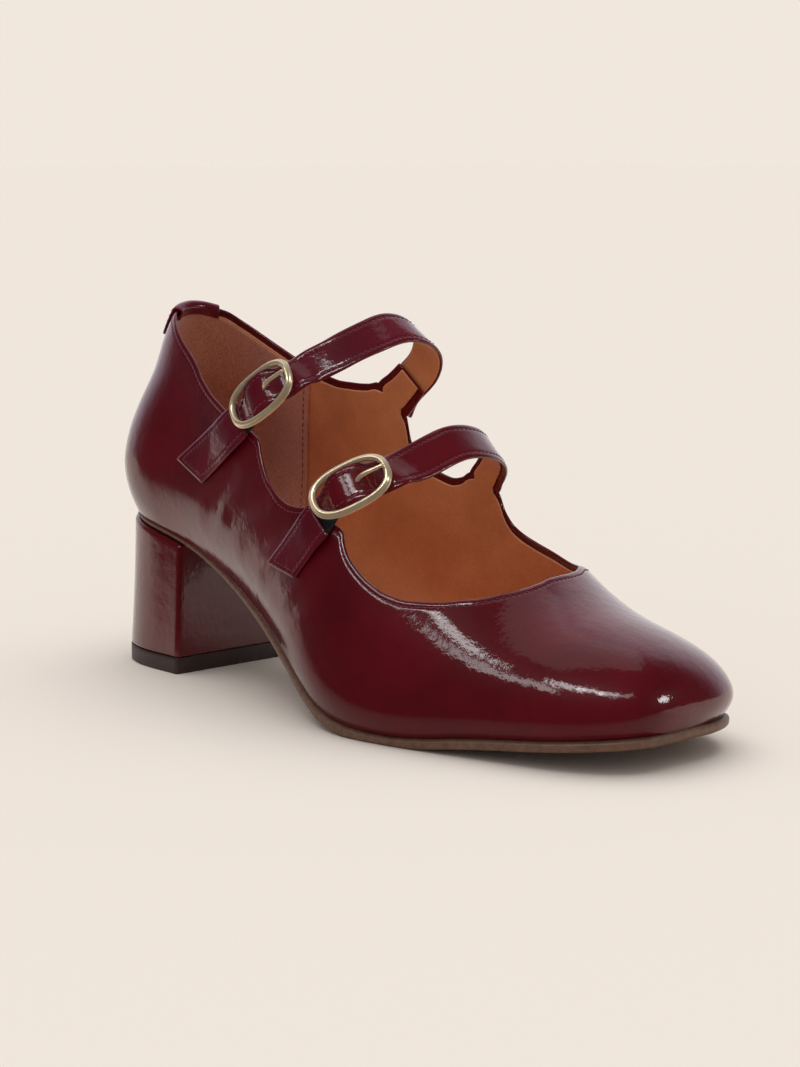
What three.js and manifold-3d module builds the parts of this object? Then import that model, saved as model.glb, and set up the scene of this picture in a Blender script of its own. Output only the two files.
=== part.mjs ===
// Right-foot mary jane shoe with two buckled straps and a covered block heel, empty and standing.
// Millimetres. +X runs to the toe, +Y to the inner side of the foot, +Z up.
// The origin is the centre of the heel's resting face, on the floor.
import * as THREE from "three";
import Module from "manifold-3d";

const wasm = await Module();
wasm.setup();

// Driving sizes.
const LENGTH = 245; // the last's widest outline, back of the heel to the toe
const BALL = 88; // width across the ball
const HEEL = 48; // height of the last's tread line over the heel
const INSTEP = 100; // height of the instep above the feather line, under the rear strap
const BACK = 68.5; // length of the upper from feather line to topline, up the back seam
const WALL = 2; // upper leather with its lining
const GAP = 0.3; // clearance between neighbouring pieces
const SOLE = 3.5; // feather line above the tread line
const SEAT_SOLE = 1.8; // outsole skived thin over the heel
const OUTSOLE = 3.2; // outsole under the forepart
const INSOLE = 2.4;
const TOP_PIECE = 5.5;
const BREAST = 44.4; // front face of the heel, from the back of the last
const HEEL_INSET = 1.2; // heel's foot inside the last's outline
const STRAP = 12.6; // strap width
const STRAP_THICK = 1.6;
const TAB = 13;
const TAB_THICK = 1.4;
const ELASTIC = 10.4;
const ELASTIC_THICK = 0.8;
const HEEL_TAPER = 1.8; // how much further in the heel's top is
const SLOT = 1.3; // half width of a prong hole
const RING_LONG = 27; // buckle, outside
const RING_WIDE = 17.4;
const RING_BAR = 2.1; // width of the buckle's rim
const RING_DEEP = 2;
const RING_LIFT = 4; // middle of the rim above the last
const PIN = 0.75; // radius of the buckle's centre bar
const PIN_LIFT = 2.3;
const RING_SQUARE = 2.6; // 2 for an ellipse, more for straighter sides
const PRONG = 0.7; // radius of the prong

// Where the outline starts to round off at each end, as shares of LENGTH, and how square it rounds.
const TOE = { start: 0.858, power: 2.68 };
const COUNTER = { start: 0.14, power: 2.41 };

// The last, a row per section. at: share of LENGTH. outer, inner, ridge: shares of BALL from the centre
// line. tread: share of HEEL. top: share of INSTEP. outerBow, innerBow: how full the wall stands, 0.5
// round and less for straighter.
const LAST = [
  { at: 0.0, outer: 0.352, inner: 0.341, tread: 1.05, top: 0.86, ridge: 0.0, outerBow: 0.46, innerBow: 0.46 },
  { at: 0.08, outer: 0.345, inner: 0.341, tread: 0.985, top: 0.84, ridge: 0.0, outerBow: 0.46, innerBow: 0.46 },
  { at: 0.16, outer: 0.343, inner: 0.339, tread: 0.904, top: 0.89, ridge: 0.0, outerBow: 0.45, innerBow: 0.45 },
  { at: 0.26, outer: 0.364, inner: 0.325, tread: 0.742, top: 0.97, ridge: 0.011, outerBow: 0.45, innerBow: 0.42 },
  { at: 0.36, outer: 0.411, inner: 0.314, tread: 0.519, top: 1.03, ridge: 0.04, outerBow: 0.45, innerBow: 0.3 },
  { at: 0.46, outer: 0.48, inner: 0.336, tread: 0.258, top: 1.01, ridge: 0.091, outerBow: 0.45, innerBow: 0.19 },
  { at: 0.55, outer: 0.543, inner: 0.398, tread: 0.054, top: 0.89, ridge: 0.08, outerBow: 0.45, innerBow: 0.27 },
  { at: 0.62, outer: 0.55, inner: 0.451, tread: -0.008, top: 0.755, ridge: 0.063, outerBow: 0.45, innerBow: 0.36 },
  { at: 0.7, outer: 0.511, inner: 0.486, tread: -0.008, top: 0.575, ridge: 0.045, outerBow: 0.44, innerBow: 0.4 },
  { at: 0.78, outer: 0.457, inner: 0.4875, tread: 0.045, top: 0.408, ridge: 0.034, outerBow: 0.43, innerBow: 0.41 },
  { at: 0.86, outer: 0.4, inner: 0.47, tread: 0.088, top: 0.312, ridge: 0.023, outerBow: 0.42, innerBow: 0.41 },
  { at: 0.94, outer: 0.35, inner: 0.449, tread: 0.133, top: 0.255, ridge: 0.017, outerBow: 0.41, innerBow: 0.4 },
  { at: 1.0, outer: 0.32, inner: 0.436, tread: 0.167, top: 0.235, ridge: 0.011, outerBow: 0.41, innerBow: 0.4 },
];

// How the upper draws in to its feather edge. at: share of LENGTH. inset: share of BALL. reach: height
// over which it draws in, share of INSTEP.
const TUCK = [
  { at: 0.0, inset: 0.04, reach: 0.2 },
  { at: 0.3, inset: 0.06, reach: 0.22 },
  { at: 0.45, inset: 0.06, reach: 0.2 },
  { at: 0.62, inset: 0.04, reach: 0.1 },
  { at: 0.8, inset: 0.034, reach: 0.08 },
  { at: 1.0, inset: 0.034, reach: 0.08 },
];

// How the counter leans in above the heel. height: above the feather line, share of BACK. inset: share of
// BALL at the back seam, less and less up to COUNTER_LEAN of the length.
const LEAN = [
  { height: 0.0, inset: 0.0 },
  { height: 0.27, inset: -0.005 },
  { height: 0.415, inset: 0.009 },
  { height: 0.565, inset: 0.04 },
  { height: 0.715, inset: 0.072 },
  { height: 0.865, inset: 0.078 },
  { height: 1.015, inset: 0.084 },
];
const COUNTER_LEAN = 0.3;

// The outsole's edge inside the last's outline. at: share of LENGTH. inset: share of BALL.
const SOLE_EDGE = [
  { at: 0.0, inset: 0.042 },
  { at: 0.2, inset: 0.056 },
  { at: 0.35, inset: 0.06 },
  { at: 0.5, inset: 0.045 },
  { at: 0.62, inset: 0.022 },
  { at: 0.8, inset: 0.018 },
  { at: 1.0, inset: 0.018 },
];

// Toplines, each from the back seam to the middle of the throat. around: share of the way round the
// last. rise: length up the last from the feather line, share of BACK.
const OUTER_TOPLINE = [
  { around: 0.0, rise: 1.015 },
  { around: 0.1, rise: 0.996 },
  { around: 0.15, rise: 0.963 },
  { around: 0.2, rise: 0.91 },
  { around: 0.25, rise: 0.85 },
  { around: 0.281, rise: 0.797 },
  { around: 0.315, rise: 0.766 },
  { around: 0.345, rise: 0.763 },
  { around: 0.385, rise: 0.785 },
  { around: 0.402, rise: 0.79 },
  { around: 0.41, rise: 0.752 },
  { around: 0.421, rise: 0.708 },
  { around: 0.434, rise: 0.68 },
  { around: 0.446, rise: 0.674 },
  { around: 0.461, rise: 0.689 },
  { around: 0.474, rise: 0.722 },
  { around: 0.489, rise: 0.774 },
  { around: 0.505, rise: 0.808 },
  { around: 0.533, rise: 0.82 },
  { around: 0.541, rise: 0.776 },
  { around: 0.55, rise: 0.735 },
  { around: 0.564, rise: 0.695 },
  { around: 0.583, rise: 0.652 },
  { around: 0.604, rise: 0.618 },
  { around: 0.628, rise: 0.601 },
  { around: 0.655, rise: 0.602 },
  { around: 0.706, rise: 0.642 },
  { around: 0.786, rise: 0.788 },
  { around: 0.86, rise: 0.925 },
  { around: 0.93, rise: 1.018 },
  { around: 1.0, rise: 1.063 },
];
const INNER_TOPLINE = [
  { around: 0.0, rise: 1.015 },
  { around: 0.1, rise: 0.993 },
  { around: 0.141, rise: 0.955 },
  { around: 0.2, rise: 0.893 },
  { around: 0.251, rise: 0.845 },
  { around: 0.285, rise: 0.822 },
  { around: 0.32, rise: 0.832 },
  { around: 0.35, rise: 0.872 },
  { around: 0.375, rise: 0.923 },
  { around: 0.392, rise: 0.97 },
  { around: 0.411, rise: 0.985 },
  { around: 0.431, rise: 0.92 },
  { around: 0.438, rise: 0.815 },
  { around: 0.446, rise: 0.77 },
  { around: 0.457, rise: 0.76 },
  { around: 0.47, rise: 0.773 },
  { around: 0.484, rise: 0.79 },
  { around: 0.495, rise: 0.83 },
  { around: 0.503, rise: 0.88 },
  { around: 0.517, rise: 0.915 },
  { around: 0.531, rise: 0.865 },
  { around: 0.538, rise: 0.775 },
  { around: 0.547, rise: 0.727 },
  { around: 0.563, rise: 0.698 },
  { around: 0.596, rise: 0.668 },
  { around: 0.63, rise: 0.642 },
  { around: 0.66, rise: 0.65 },
  { around: 0.71, rise: 0.715 },
  { around: 0.786, rise: 0.863 },
  { around: 0.86, rise: 0.976 },
  { around: 0.93, rise: 1.04 },
  { around: 1.0, rise: 1.063 },
];

// Roots of the inner wings on the topline: where each starts and ends, as shares of the way round.
const REAR_ROOT = [0.392, 0.431];
const FRONT_ROOT = [0.503, 0.531];

// Leather laid along the last, a row per turning point. at: share of LENGTH. over: -1 at the outer
// feather line, 0 on the ridge, 1 at the inner feather line. lift: outer face above the last in mm.
// wide: share of STRAP. steps: rows of facets up to the next point.
const REAR_WING = [
  { at: 0.378, over: 0.893, lift: 0, wide: 1.4, steps: 2 },
  { at: 0.396, over: 0.868, lift: 0, wide: 1.15, steps: 2 },
  { at: 0.413, over: 0.828, lift: 0, wide: 1.02, steps: 1 },
];
const FRONT_STRAP = [
  { at: 0.5295, over: 0.905, lift: 0, wide: 1.3, steps: 2 },
  { at: 0.5425, over: 0.83, lift: 0, wide: 1.08, steps: 2 },
  { at: 0.558, over: 0.71, lift: 0, wide: 1.0, steps: 2 },
  { at: 0.574, over: 0.53, lift: 0, wide: 1.0, steps: 2 },
  { at: 0.588, over: 0.28, lift: 0, wide: 1.0, steps: 3 },
  { at: 0.593, over: 0.0, lift: 0, wide: 1.0, steps: 3 },
  { at: 0.5945, over: -0.2, lift: 0, wide: 1.0, steps: 2 },
  { at: 0.5905, over: -0.4, lift: 0, wide: 1.0, steps: 2 },
];
const REAR_STRAP = [
  { at: 0.378, over: 0.907, lift: 1.9, wide: 1.0, steps: 2 },
  { at: 0.394, over: 0.868, lift: 1.9, wide: 1.0, steps: 2 },
  { at: 0.412, over: 0.828, lift: 2.1, wide: 1.0, steps: 2 },
  { at: 0.43, over: 0.76, lift: 2.3, wide: 1.0, steps: 2 },
  { at: 0.445, over: 0.6, lift: 2.6, wide: 1.0, steps: 2 },
  { at: 0.453, over: 0.35, lift: 2.0, wide: 1.0, steps: 3 },
  { at: 0.4545, over: 0.06, lift: 0.6, wide: 1.0, steps: 3 },
  { at: 0.4558, over: -0.2, lift: 0.2, wide: 1.0, steps: 2 },
  { at: 0.447, over: -0.4, lift: 0, wide: 1.0, steps: 2 },
  { at: 0.4375, over: -0.5, lift: 0, wide: 1.0, steps: 2 },
];

// Tabs on the outer side, from their free end up to the buckle. skew: how far the end is cut aslant.
const FRONT_TAB = [
  { at: 0.471, over: -0.962, lift: 1.9, skew: 0.55, steps: 2 },
  { at: 0.5, over: -0.915, lift: 1.9, steps: 2 },
  { at: 0.517, over: -0.875, lift: 2.95, steps: 2 },
  { at: 0.525, over: -0.85, lift: 2.95, steps: 1 },
];
const REAR_TAB = [
  { at: 0.2285, over: -0.965, lift: 1.9, skew: 0.6, steps: 2 },
  { at: 0.277, over: -0.926, lift: 1.9, steps: 2 },
  { at: 0.308, over: -0.893, lift: 2.8, steps: 2 },
  { at: 0.3348, over: -0.8535, lift: 2.65, steps: 1 },
];

// Buckles: the middle of each, and the point the long axis runs up to.
const FRONT_BUCKLE = { at: 0.5532, over: -0.7128, toAt: 0.5974, toOver: -0.4142 };
const REAR_BUCKLE = { at: 0.3703, over: -0.7757, toAt: 0.4305, toOver: -0.5813 };

// A strap's end through its buckle, from the strap side to the tip. along: from the centre bar. out:
// outer face above the last. aside: across the buckle, all in mm. wide: share of STRAP. steps as above; hole: first row of the hole.
const BUCKLED = [
  { along: 15.5, out: -1.5, aside: -1.3, wide: 1.0, steps: 2 },
  { along: 12, out: 0.9, aside: -0.2, wide: 0.95, steps: 1 },
  { along: 8, out: 1.6, wide: 0.92, steps: 1 },
  { along: 4.8, out: 4.2, wide: 0.95, steps: 1, hole: true },
  { along: 0.8, out: 5.3, wide: 0.97, steps: 1 },
  { along: -3.5, out: 4.9, wide: 0.97, steps: 1 },
  { along: -6.8, out: 3.5, wide: 0.86, steps: 1 },
  { along: -9, out: 2.3, wide: 0.66, steps: 1 },
  { along: -11.5, out: 1.9, wide: 0.4, steps: 1 },
];
// The elastic from under its tab to its turn round the centre bar, middle of its thickness.
const HOOK = [
  { along: -8.5, out: -0.2, steps: 2 },
  { along: -3.2, out: 0.5, steps: 1, slot: true },
  { along: 0, out: 0.8, steps: 2, slot: true },
  { along: 1.5, out: 1.6, steps: 1, slot: true },
  { along: 1.6, out: 2.2, steps: 1, slot: true },
];
// The prong, round the centre bar, up through the strap and down on the rim.
const TONGUE = [
  { along: -0.6, out: 0.7 },
  { along: 1.3, out: 1.2 },
  { along: 2.3, out: 2.8 },
  { along: 3.1, out: 5.0 },
  { along: 4.8, out: 6.1 },
  { along: 8.5, out: 6.2 },
  { along: 12.5, out: 5.85 },
];

// A natural cubic through the rows of a table, by the names of its two columns.
function curve(rows, xName, yName) {
  const x = rows.map((row) => row[xName]);
  const y = rows.map((row) => row[yName]);
  const last = x.length - 1;
  const bend = new Array(last + 1).fill(0);
  const carry = new Array(last + 1).fill(0);
  for (let i = 1; i < last; i++) {
    const before = x[i] - x[i - 1];
    const after = x[i + 1] - x[i];
    const turn = 6 * ((y[i + 1] - y[i]) / after - (y[i] - y[i - 1]) / before);
    const pivot = 2 * (before + after) - before * carry[i - 1];
    carry[i] = after / pivot;
    bend[i] = (turn - before * bend[i - 1]) / pivot;
  }
  for (let i = last - 1; i > 0; i--) bend[i] -= carry[i] * bend[i + 1];
  return (at) => {
    let i = 0;
    while (i < last - 1 && at > x[i + 1]) i++;
    const span = x[i + 1] - x[i];
    const a = (x[i + 1] - at) / span;
    const b = (at - x[i]) / span;
    const sag = ((a ** 3 - a) * bend[i] + (b ** 3 - b) * bend[i + 1]) * (span * span) / 6;
    return a * y[i] + b * y[i + 1] + sag;
  };
}

// The same, but never rising or falling past its rows.
function steadyCurve(rows, xName, yName) {
  const x = rows.map((row) => row[xName]);
  const y = rows.map((row) => row[yName]);
  const last = x.length - 1;
  const rate = x.slice(1).map((next, i) => (y[i + 1] - y[i]) / (next - x[i]));
  const slope = x.map((_, i) => {
    if (i === 0 || i === last) return 0;
    if (rate[i - 1] * rate[i] <= 0) return 0;
    return (2 * rate[i - 1] * rate[i]) / (rate[i - 1] + rate[i]);
  });
  return (at) => {
    let i = 0;
    while (i < last - 1 && at > x[i + 1]) i++;
    const span = x[i + 1] - x[i];
    const u = (at - x[i]) / span;
    const rise = y[i + 1] - y[i];
    const ease = u * u * (3 - 2 * u);
    return y[i] + rise * ease + span * (u * (1 - u) ** 2 * slope[i] - u * u * (1 - u) * slope[i + 1]);
  };
}

const lastOuter = curve(LAST, "at", "outer");
const lastInner = curve(LAST, "at", "inner");
const lastTread = curve(LAST, "at", "tread");
const lastTop = curve(LAST, "at", "top");
const lastRidge = curve(LAST, "at", "ridge");
const lastOuterBow = curve(LAST, "at", "outerBow");
const lastInnerBow = curve(LAST, "at", "innerBow");
const tuckInset = curve(TUCK, "at", "inset");
const tuckReach = curve(TUCK, "at", "reach");
const leanInset = curve(LEAN, "height", "inset");
const soleInset = steadyCurve(SOLE_EDGE, "at", "inset");
const outerTopline = steadyCurve(OUTER_TOPLINE, "around", "rise");
const innerTopline = steadyCurve(INNER_TOPLINE, "around", "rise");

const clamp = (value, low, high) => Math.min(high, Math.max(low, value));

// How far the section at x is drawn in by the rounding of the toe and of the heel, 1 between them.
function rounding(x) {
  const toe = clamp((x / LENGTH - TOE.start) / (1 - TOE.start), 0, 1);
  const back = clamp((COUNTER.start - x / LENGTH) / COUNTER.start, 0, 1);
  return (1 - toe ** TOE.power) ** (1 / TOE.power) * (1 - back ** COUNTER.power) ** (1 / COUNTER.power);
}

// Half width before the ends are rounded; side is -1 for the outer side and 1 for the inner.
const fullWidth = (x, side) => (side < 0 ? lastOuter(x / LENGTH) : lastInner(x / LENGTH)) * BALL;
const tread = (x) => lastTread(x / LENGTH) * HEEL;
const feather = (x) => tread(x) + SOLE;
const ridge = (x) => lastRidge(x / LENGTH) * BALL * rounding(x);

// The section at x: half widths from the ridge, height and bow.
function section(x) {
  const round = rounding(x);
  const mid = ridge(x);
  return {
    mid,
    outer: fullWidth(x, -1) * round + mid,
    inner: fullWidth(x, 1) * round - mid,
    top: lastTop(x / LENGTH) * INSTEP * round,
  };
}

function bulge(x, over, top) {
  const share = (over + 1) / 2;
  const bow = (1 - share) * lastOuterBow(x / LENGTH) + share * lastInnerBow(x / LENGTH);
  return top * Math.max(1 - over * over, 0) ** bow;
}

// A point of the last by its section and how far over it is.
function onLast(x, over) {
  const cut = section(x);
  const y = cut.mid + ((cut.inner + cut.outer) / 2) * over + ((cut.inner - cut.outer) / 2) * over * over;
  return new THREE.Vector3(x, y, feather(x) + bulge(x, over, cut.top));
}

// The last's height over a point of its plan.
function lastHeight(x, y) {
  const cut = section(x);
  const skew = (cut.inner - cut.outer) / 2;
  const half = (cut.inner + cut.outer) / 2;
  const root = Math.sqrt(Math.max(half * half + 4 * skew * (y - cut.mid), 0));
  const over = clamp((2 * (y - cut.mid)) / Math.max(half + root, 1e-9), -1, 1);
  return feather(x) + bulge(x, over, cut.top);
}

// The outward normal of the last.
function lastNormal(x, over) {
  const step = 0.002;
  const ahead = onLast(x + step * LENGTH, over).sub(onLast(x - step * LENGTH, over));
  const across = onLast(x, over + step).sub(onLast(x, over - step));
  return ahead.cross(across).normalize();
}

// The plan outline brought in by an inset, and its half width at x.
const insetX = (x, inset) => inset + (x * (LENGTH - 2 * inset)) / LENGTH;
function insetWidth(x, side, inset) {
  const source = clamp(((x - inset) * LENGTH) / (LENGTH - 2 * inset), 0, LENGTH);
  return (fullWidth(source, side) - inset) * rounding(source);
}

// A point of the last drawn in towards the feather edge, and over the heel towards the topline.
function tucked(point) {
  const height = point.z - feather(point.x);
  const near = clamp(1 - height / (tuckReach(point.x / LENGTH) * INSTEP), 0, 1);
  const toBack = clamp(1 - point.x / (COUNTER_LEAN * LENGTH), 0, 1);
  const lean = leanInset(clamp(height / BACK, 0, 1.1)) * toBack;
  const inset = (tuckInset(point.x / LENGTH) * near ** 2 + lean) * BALL;
  const side = point.y < 0 ? -1 : 1;
  const x = insetX(point.x, inset);
  const width = fullWidth(point.x, side);
  const z = near > 0 ? feather(x) + height : point.z;
  return new THREE.Vector3(x, (point.y * (width - inset)) / width, z);
}

// Columns of the upper climb from the outline towards a spine inside the opening.
const SPINE = { back: 0.14, front: 0.61, lead: 3.2 };
const COLUMN_POINTS = 160;
function column(around, side) {
  const foot = clamp((LENGTH * (1 - Math.cos(Math.PI * around))) / 2, 1e-3, LENGTH - 1e-3);
  const footY = side * fullWidth(foot, side) * rounding(foot);
  const lead = 1 - (1 - foot / LENGTH) ** SPINE.lead;
  const head = (SPINE.back + (SPINE.front - SPINE.back) * lead) * LENGTH;
  const headY = ridge(head);
  const points = [];
  const lengths = [];
  for (let i = 0; i <= COLUMN_POINTS; i++) {
    const share = 1 - Math.cos((Math.PI / 2) * (i / COLUMN_POINTS));
    const x = foot + (head - foot) * share;
    const y = footY + (headY - footY) * share;
    points.push(new THREE.Vector3(x, y, i === 0 ? feather(x) : lastHeight(x, y)));
    lengths.push(i === 0 ? 0 : lengths[i - 1] + points[i].distanceTo(points[i - 1]));
  }
  return (rise) => {
    let i = 1;
    while (i < COLUMN_POINTS && lengths[i] < rise) i++;
    const share = (rise - lengths[i - 1]) / (lengths[i] - lengths[i - 1]);
    return points[i - 1].clone().lerp(points[i], share);
  };
}

const risesTo = (around, side) => (side < 0 ? outerTopline(around) : innerTopline(around)) * BACK;

// A closed body from an outer sheet and its inner twin: both faces, and a rim along every open edge.
function shell(name, outer, inner, triangles, material) {
  const count = outer.length;
  const positions = [...outer, ...inner].flatMap((p) => [p.x - HEEL_MIDDLE, p.y, p.z]);
  const index = [];
  const edges = new Map();
  for (const [a, b, c] of triangles) {
    index.push(a, b, c, count + a, count + c, count + b);
    for (const [from, to] of [[a, b], [b, c], [c, a]]) edges.set(from + " " + to, [from, to]);
  }
  for (const [from, to] of edges.values()) {
    if (edges.has(to + " " + from)) continue;
    index.push(from, count + from, to, to, count + from, count + to);
  }
  const geometry = new THREE.BufferGeometry();
  geometry.setAttribute("position", new THREE.Float32BufferAttribute(positions, 3));
  geometry.setIndex(index);
  geometry.computeVertexNormals();
  const mesh = new THREE.Mesh(geometry, new THREE.MeshStandardMaterial(material));
  mesh.name = name;
  return mesh;
}

// Vertex normals of a sheet of triangles.
function sheetNormals(points, triangles) {
  const normals = points.map(() => new THREE.Vector3());
  for (const [a, b, c] of triangles) {
    const first = points[b].clone().sub(points[a]);
    const face = first.cross(points[c].clone().sub(points[a]));
    normals[a].add(face);
    normals[b].add(face);
    normals[c].add(face);
  }
  return normals.map((normal) => normal.normalize());
}

// Two triangles for each cell of a grid whose rows are lists of point numbers.
function gridTriangles(rows, isOpen = () => false) {
  const triangles = [];
  for (let r = 0; r + 1 < rows.length; r++) {
    for (let c = 0; c + 1 < rows[r].length; c++) {
      if (isOpen(r, c)) continue;
      const [a, b] = [rows[r][c], rows[r][c + 1]];
      const [d, e] = [rows[r + 1][c], rows[r + 1][c + 1]];
      triangles.push([a, b, e], [a, e, d]);
    }
  }
  return triangles;
}

// Rows for a run of leather: the middle of its outer face, its normal and width, spaced as asked.
function run(knots) {
  let length = 0;
  const rows = knots.map((knot, i) => {
    if (i > 0) length += knot.point.distanceTo(knots[i - 1].point);
    const { point, normal } = knot;
    const [px, py, pz] = [point.x, point.y, point.z];
    const [nx, ny, nz] = [normal.x, normal.y, normal.z];
    return { length, px, py, pz, nx, ny, nz, wide: knot.wide, skew: knot.skew ?? 0 };
  });
  const names = ["px", "py", "pz", "nx", "ny", "nz"];
  const [px, py, pz, nx, ny, nz] = names.map((name) => curve(rows, "length", name));
  const wide = steadyCurve(rows, "length", "wide");
  const skew = steadyCurve(rows, "length", "skew");
  const made = [];
  knots.forEach((knot, i) => {
    const steps = i + 1 < knots.length ? knot.steps : 1;
    const next = i + 1 < knots.length ? rows[i + 1].length : rows[i].length;
    for (let s = 0; s < steps; s++) {
      const at = rows[i].length + ((next - rows[i].length) * s) / steps;
      const point = new THREE.Vector3(px(at), py(at), pz(at));
      const ahead = new THREE.Vector3(px(at + 0.05), py(at + 0.05), pz(at + 0.05)).sub(point).normalize();
      const normal = new THREE.Vector3(nx(at), ny(at), nz(at));
      normal.addScaledVector(ahead, -normal.dot(ahead)).normalize();
      const across = ahead.clone().cross(normal).normalize();
      const cut = Boolean(knot.hole) || Boolean(knot.slot);
      made.push({ point, normal, ahead, across, wide: wide(at), skew: skew(at), cut });
    }
  });
  return made;
}

const laid = (row, wide) => {
  const x = row.at * LENGTH;
  const normal = lastNormal(x, row.over);
  const point = onLast(x, row.over).addScaledVector(normal, row.lift);
  return { ...row, point, normal, wide };
};

// A buckle's own axes, with the long one up the strap.
function buckleFrame(place) {
  const origin = onLast(place.at * LENGTH, place.over);
  const out = lastNormal(place.at * LENGTH, place.over);
  const along = onLast(place.toAt * LENGTH, place.toOver).sub(origin);
  along.addScaledVector(out, -along.dot(out)).normalize();
  const across = along.clone().cross(out);
  const at = (a, o, w = 0) =>
    origin.clone().addScaledVector(along, a).addScaledVector(out, o).addScaledVector(across, w);
  return { along, out, across, at };
}
const inBuckle = (frame, row, wide) => ({
  ...row,
  point: frame.at(row.along, row.out, row.aside ?? 0),
  normal: frame.out.clone(),
  wide,
});

// Points across one row of a run: the edges, and the two sides of a prong hole.
const acrossRow = (row, half) =>
  [-half, -SLOT, SLOT, half].map((w) =>
    row.point.clone().addScaledVector(row.across, w).addScaledVector(row.ahead, w * row.skew),
  );

// A closed strip of leather along a run.
function strip(name, rows, thick, material) {
  const outer = rows.flatMap((row) => acrossRow(row, row.wide / 2));
  const inner = rows.flatMap((row) =>
    acrossRow(row, row.wide / 2).map((p) => p.addScaledVector(row.normal, -thick)),
  );
  const grid = rows.map((_, r) => [0, 1, 2, 3].map((c) => 4 * r + c));
  const triangles = gridTriangles(grid, (r, c) => c === 1 && rows[r].cut);
  return shell(name, outer, inner, triangles, material);
}

const HEEL_MIDDLE = (HEEL_INSET + BREAST) / 2;

const frontFrame = buckleFrame(FRONT_BUCKLE);
const rearFrame = buckleFrame(REAR_BUCKLE);

const PATENT = { color: 0x4f0714, roughness: 0.12, metalness: 0 };
const GOLD = { color: 0xd9bc7a, roughness: 0.22, metalness: 1 };
const WEBBING = { color: 0x141011, roughness: 0.8, metalness: 0 };
const EDGE = { color: 0x5b3524, roughness: 0.6, metalness: 0 };
const FOOTBED = { color: 0xb5713c, roughness: 0.6, metalness: 0 };
const RUBBER = { color: 0x2a1614, roughness: 0.7, metalness: 0 };

// Upper: a ring of columns all round the last, the inner rear wing, and the front strap that grows
// from the inner front wing.
const RISE_SHARES = [0, 0.045, 0.1, 0.17, 0.28, 0.42, 0.57, 0.72, 0.87, 1];
const COLUMN_PITCH = 4.6;

// Places round the last, even along the topline, with a place on each root's ends.
function places(side) {
  const topline = (around) => column(around, side)(risesTo(around, side));
  const anchors = side < 0 ? [0, 1] : [0, ...REAR_ROOT, ...FRONT_ROOT, 1];
  const made = [];
  for (let i = 0; i + 1 < anchors.length; i++) {
    const [from, to] = [anchors[i], anchors[i + 1]];
    const isRoot = side > 0 && i % 2 === 1;
    const samples = 300;
    const sums = [0];
    let before = topline(from);
    for (let s = 1; s <= samples; s++) {
      const point = topline(from + ((to - from) * s) / samples);
      sums.push(sums[s - 1] + point.distanceTo(before));
      before = point;
    }
    const cells = isRoot ? 3 : Math.round(sums[samples] / COLUMN_PITCH);
    for (let c = 0; c < cells; c++) {
      const wanted = (sums[samples] * c) / cells;
      let s = 0;
      while (sums[s + 1] <= wanted) s++;
      const share = (wanted - sums[s]) / (sums[s + 1] - sums[s]);
      made.push(from + ((to - from) * (s + share)) / samples);
    }
  }
  return made;
}

function makeUpper() {
  const ring = [
    ...places(-1).map((around) => ({ around, side: -1 })),
    { around: 1, side: 1 },
    ...places(1).slice(1).reverse().map((around) => ({ around, side: 1 })),
  ];
  const points = [];
  const rows = RISE_SHARES.map(() => []);
  ring.forEach(({ around, side }) => {
    const up = column(around, side);
    const full = risesTo(around, side);
    RISE_SHARES.forEach((share, r) => {
      rows[r].push(points.length);
      points.push(tucked(up(share * full)));
    });
  });
  rows.forEach((row) => row.push(row[0]));
  const triangles = gridTriangles(rows);
  const topRow = rows[rows.length - 1];

  // A wing or strap carried on from its root, easing out of the root's own shape.
  const extend = (root, leather) => {
    const from = ring.findIndex((c) => c.side === 1 && Math.abs(c.around - root[1]) < 1e-9);
    const ids = [0, 1, 2, 3].map((c) => topRow[from + c]);
    const eased = 5;
    const start = acrossRow(leather[0], leather[0].wide / 2);
    const shift = ids.map((id, c) => points[id].clone().sub(start[c]));
    const grid = [ids];
    leather.slice(1).forEach((row, r) => {
      const weight = Math.max(1 - (r + 1) / eased, 0) ** 2;
      const line = acrossRow(row, row.wide / 2);
      grid.push(line.map((p, c) => points.push(p.addScaledVector(shift[c], weight)) - 1));
    });
    triangles.push(...gridTriangles(grid, (r, c) => c === 1 && leather[r].cut));
  };
  extend(REAR_ROOT, run(REAR_WING.map((row) => laid(row, row.wide * STRAP))));
  extend(
    FRONT_ROOT,
    run([
      ...FRONT_STRAP.map((row) => laid(row, row.wide * STRAP)),
      ...BUCKLED.map((row) => inBuckle(frontFrame, row, row.wide * STRAP)),
    ]),
  );

  const normals = sheetNormals(points, triangles);
  const feet = new Set(rows[0]);
  const inner = points.map((p, i) => {
    const normal = normals[i];
    if (feet.has(i)) normal.setZ(0).normalize();
    return p.clone().addScaledVector(normal, -WALL);
  });
  return shell("upper", points, inner, triangles, PATENT);
}

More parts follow.
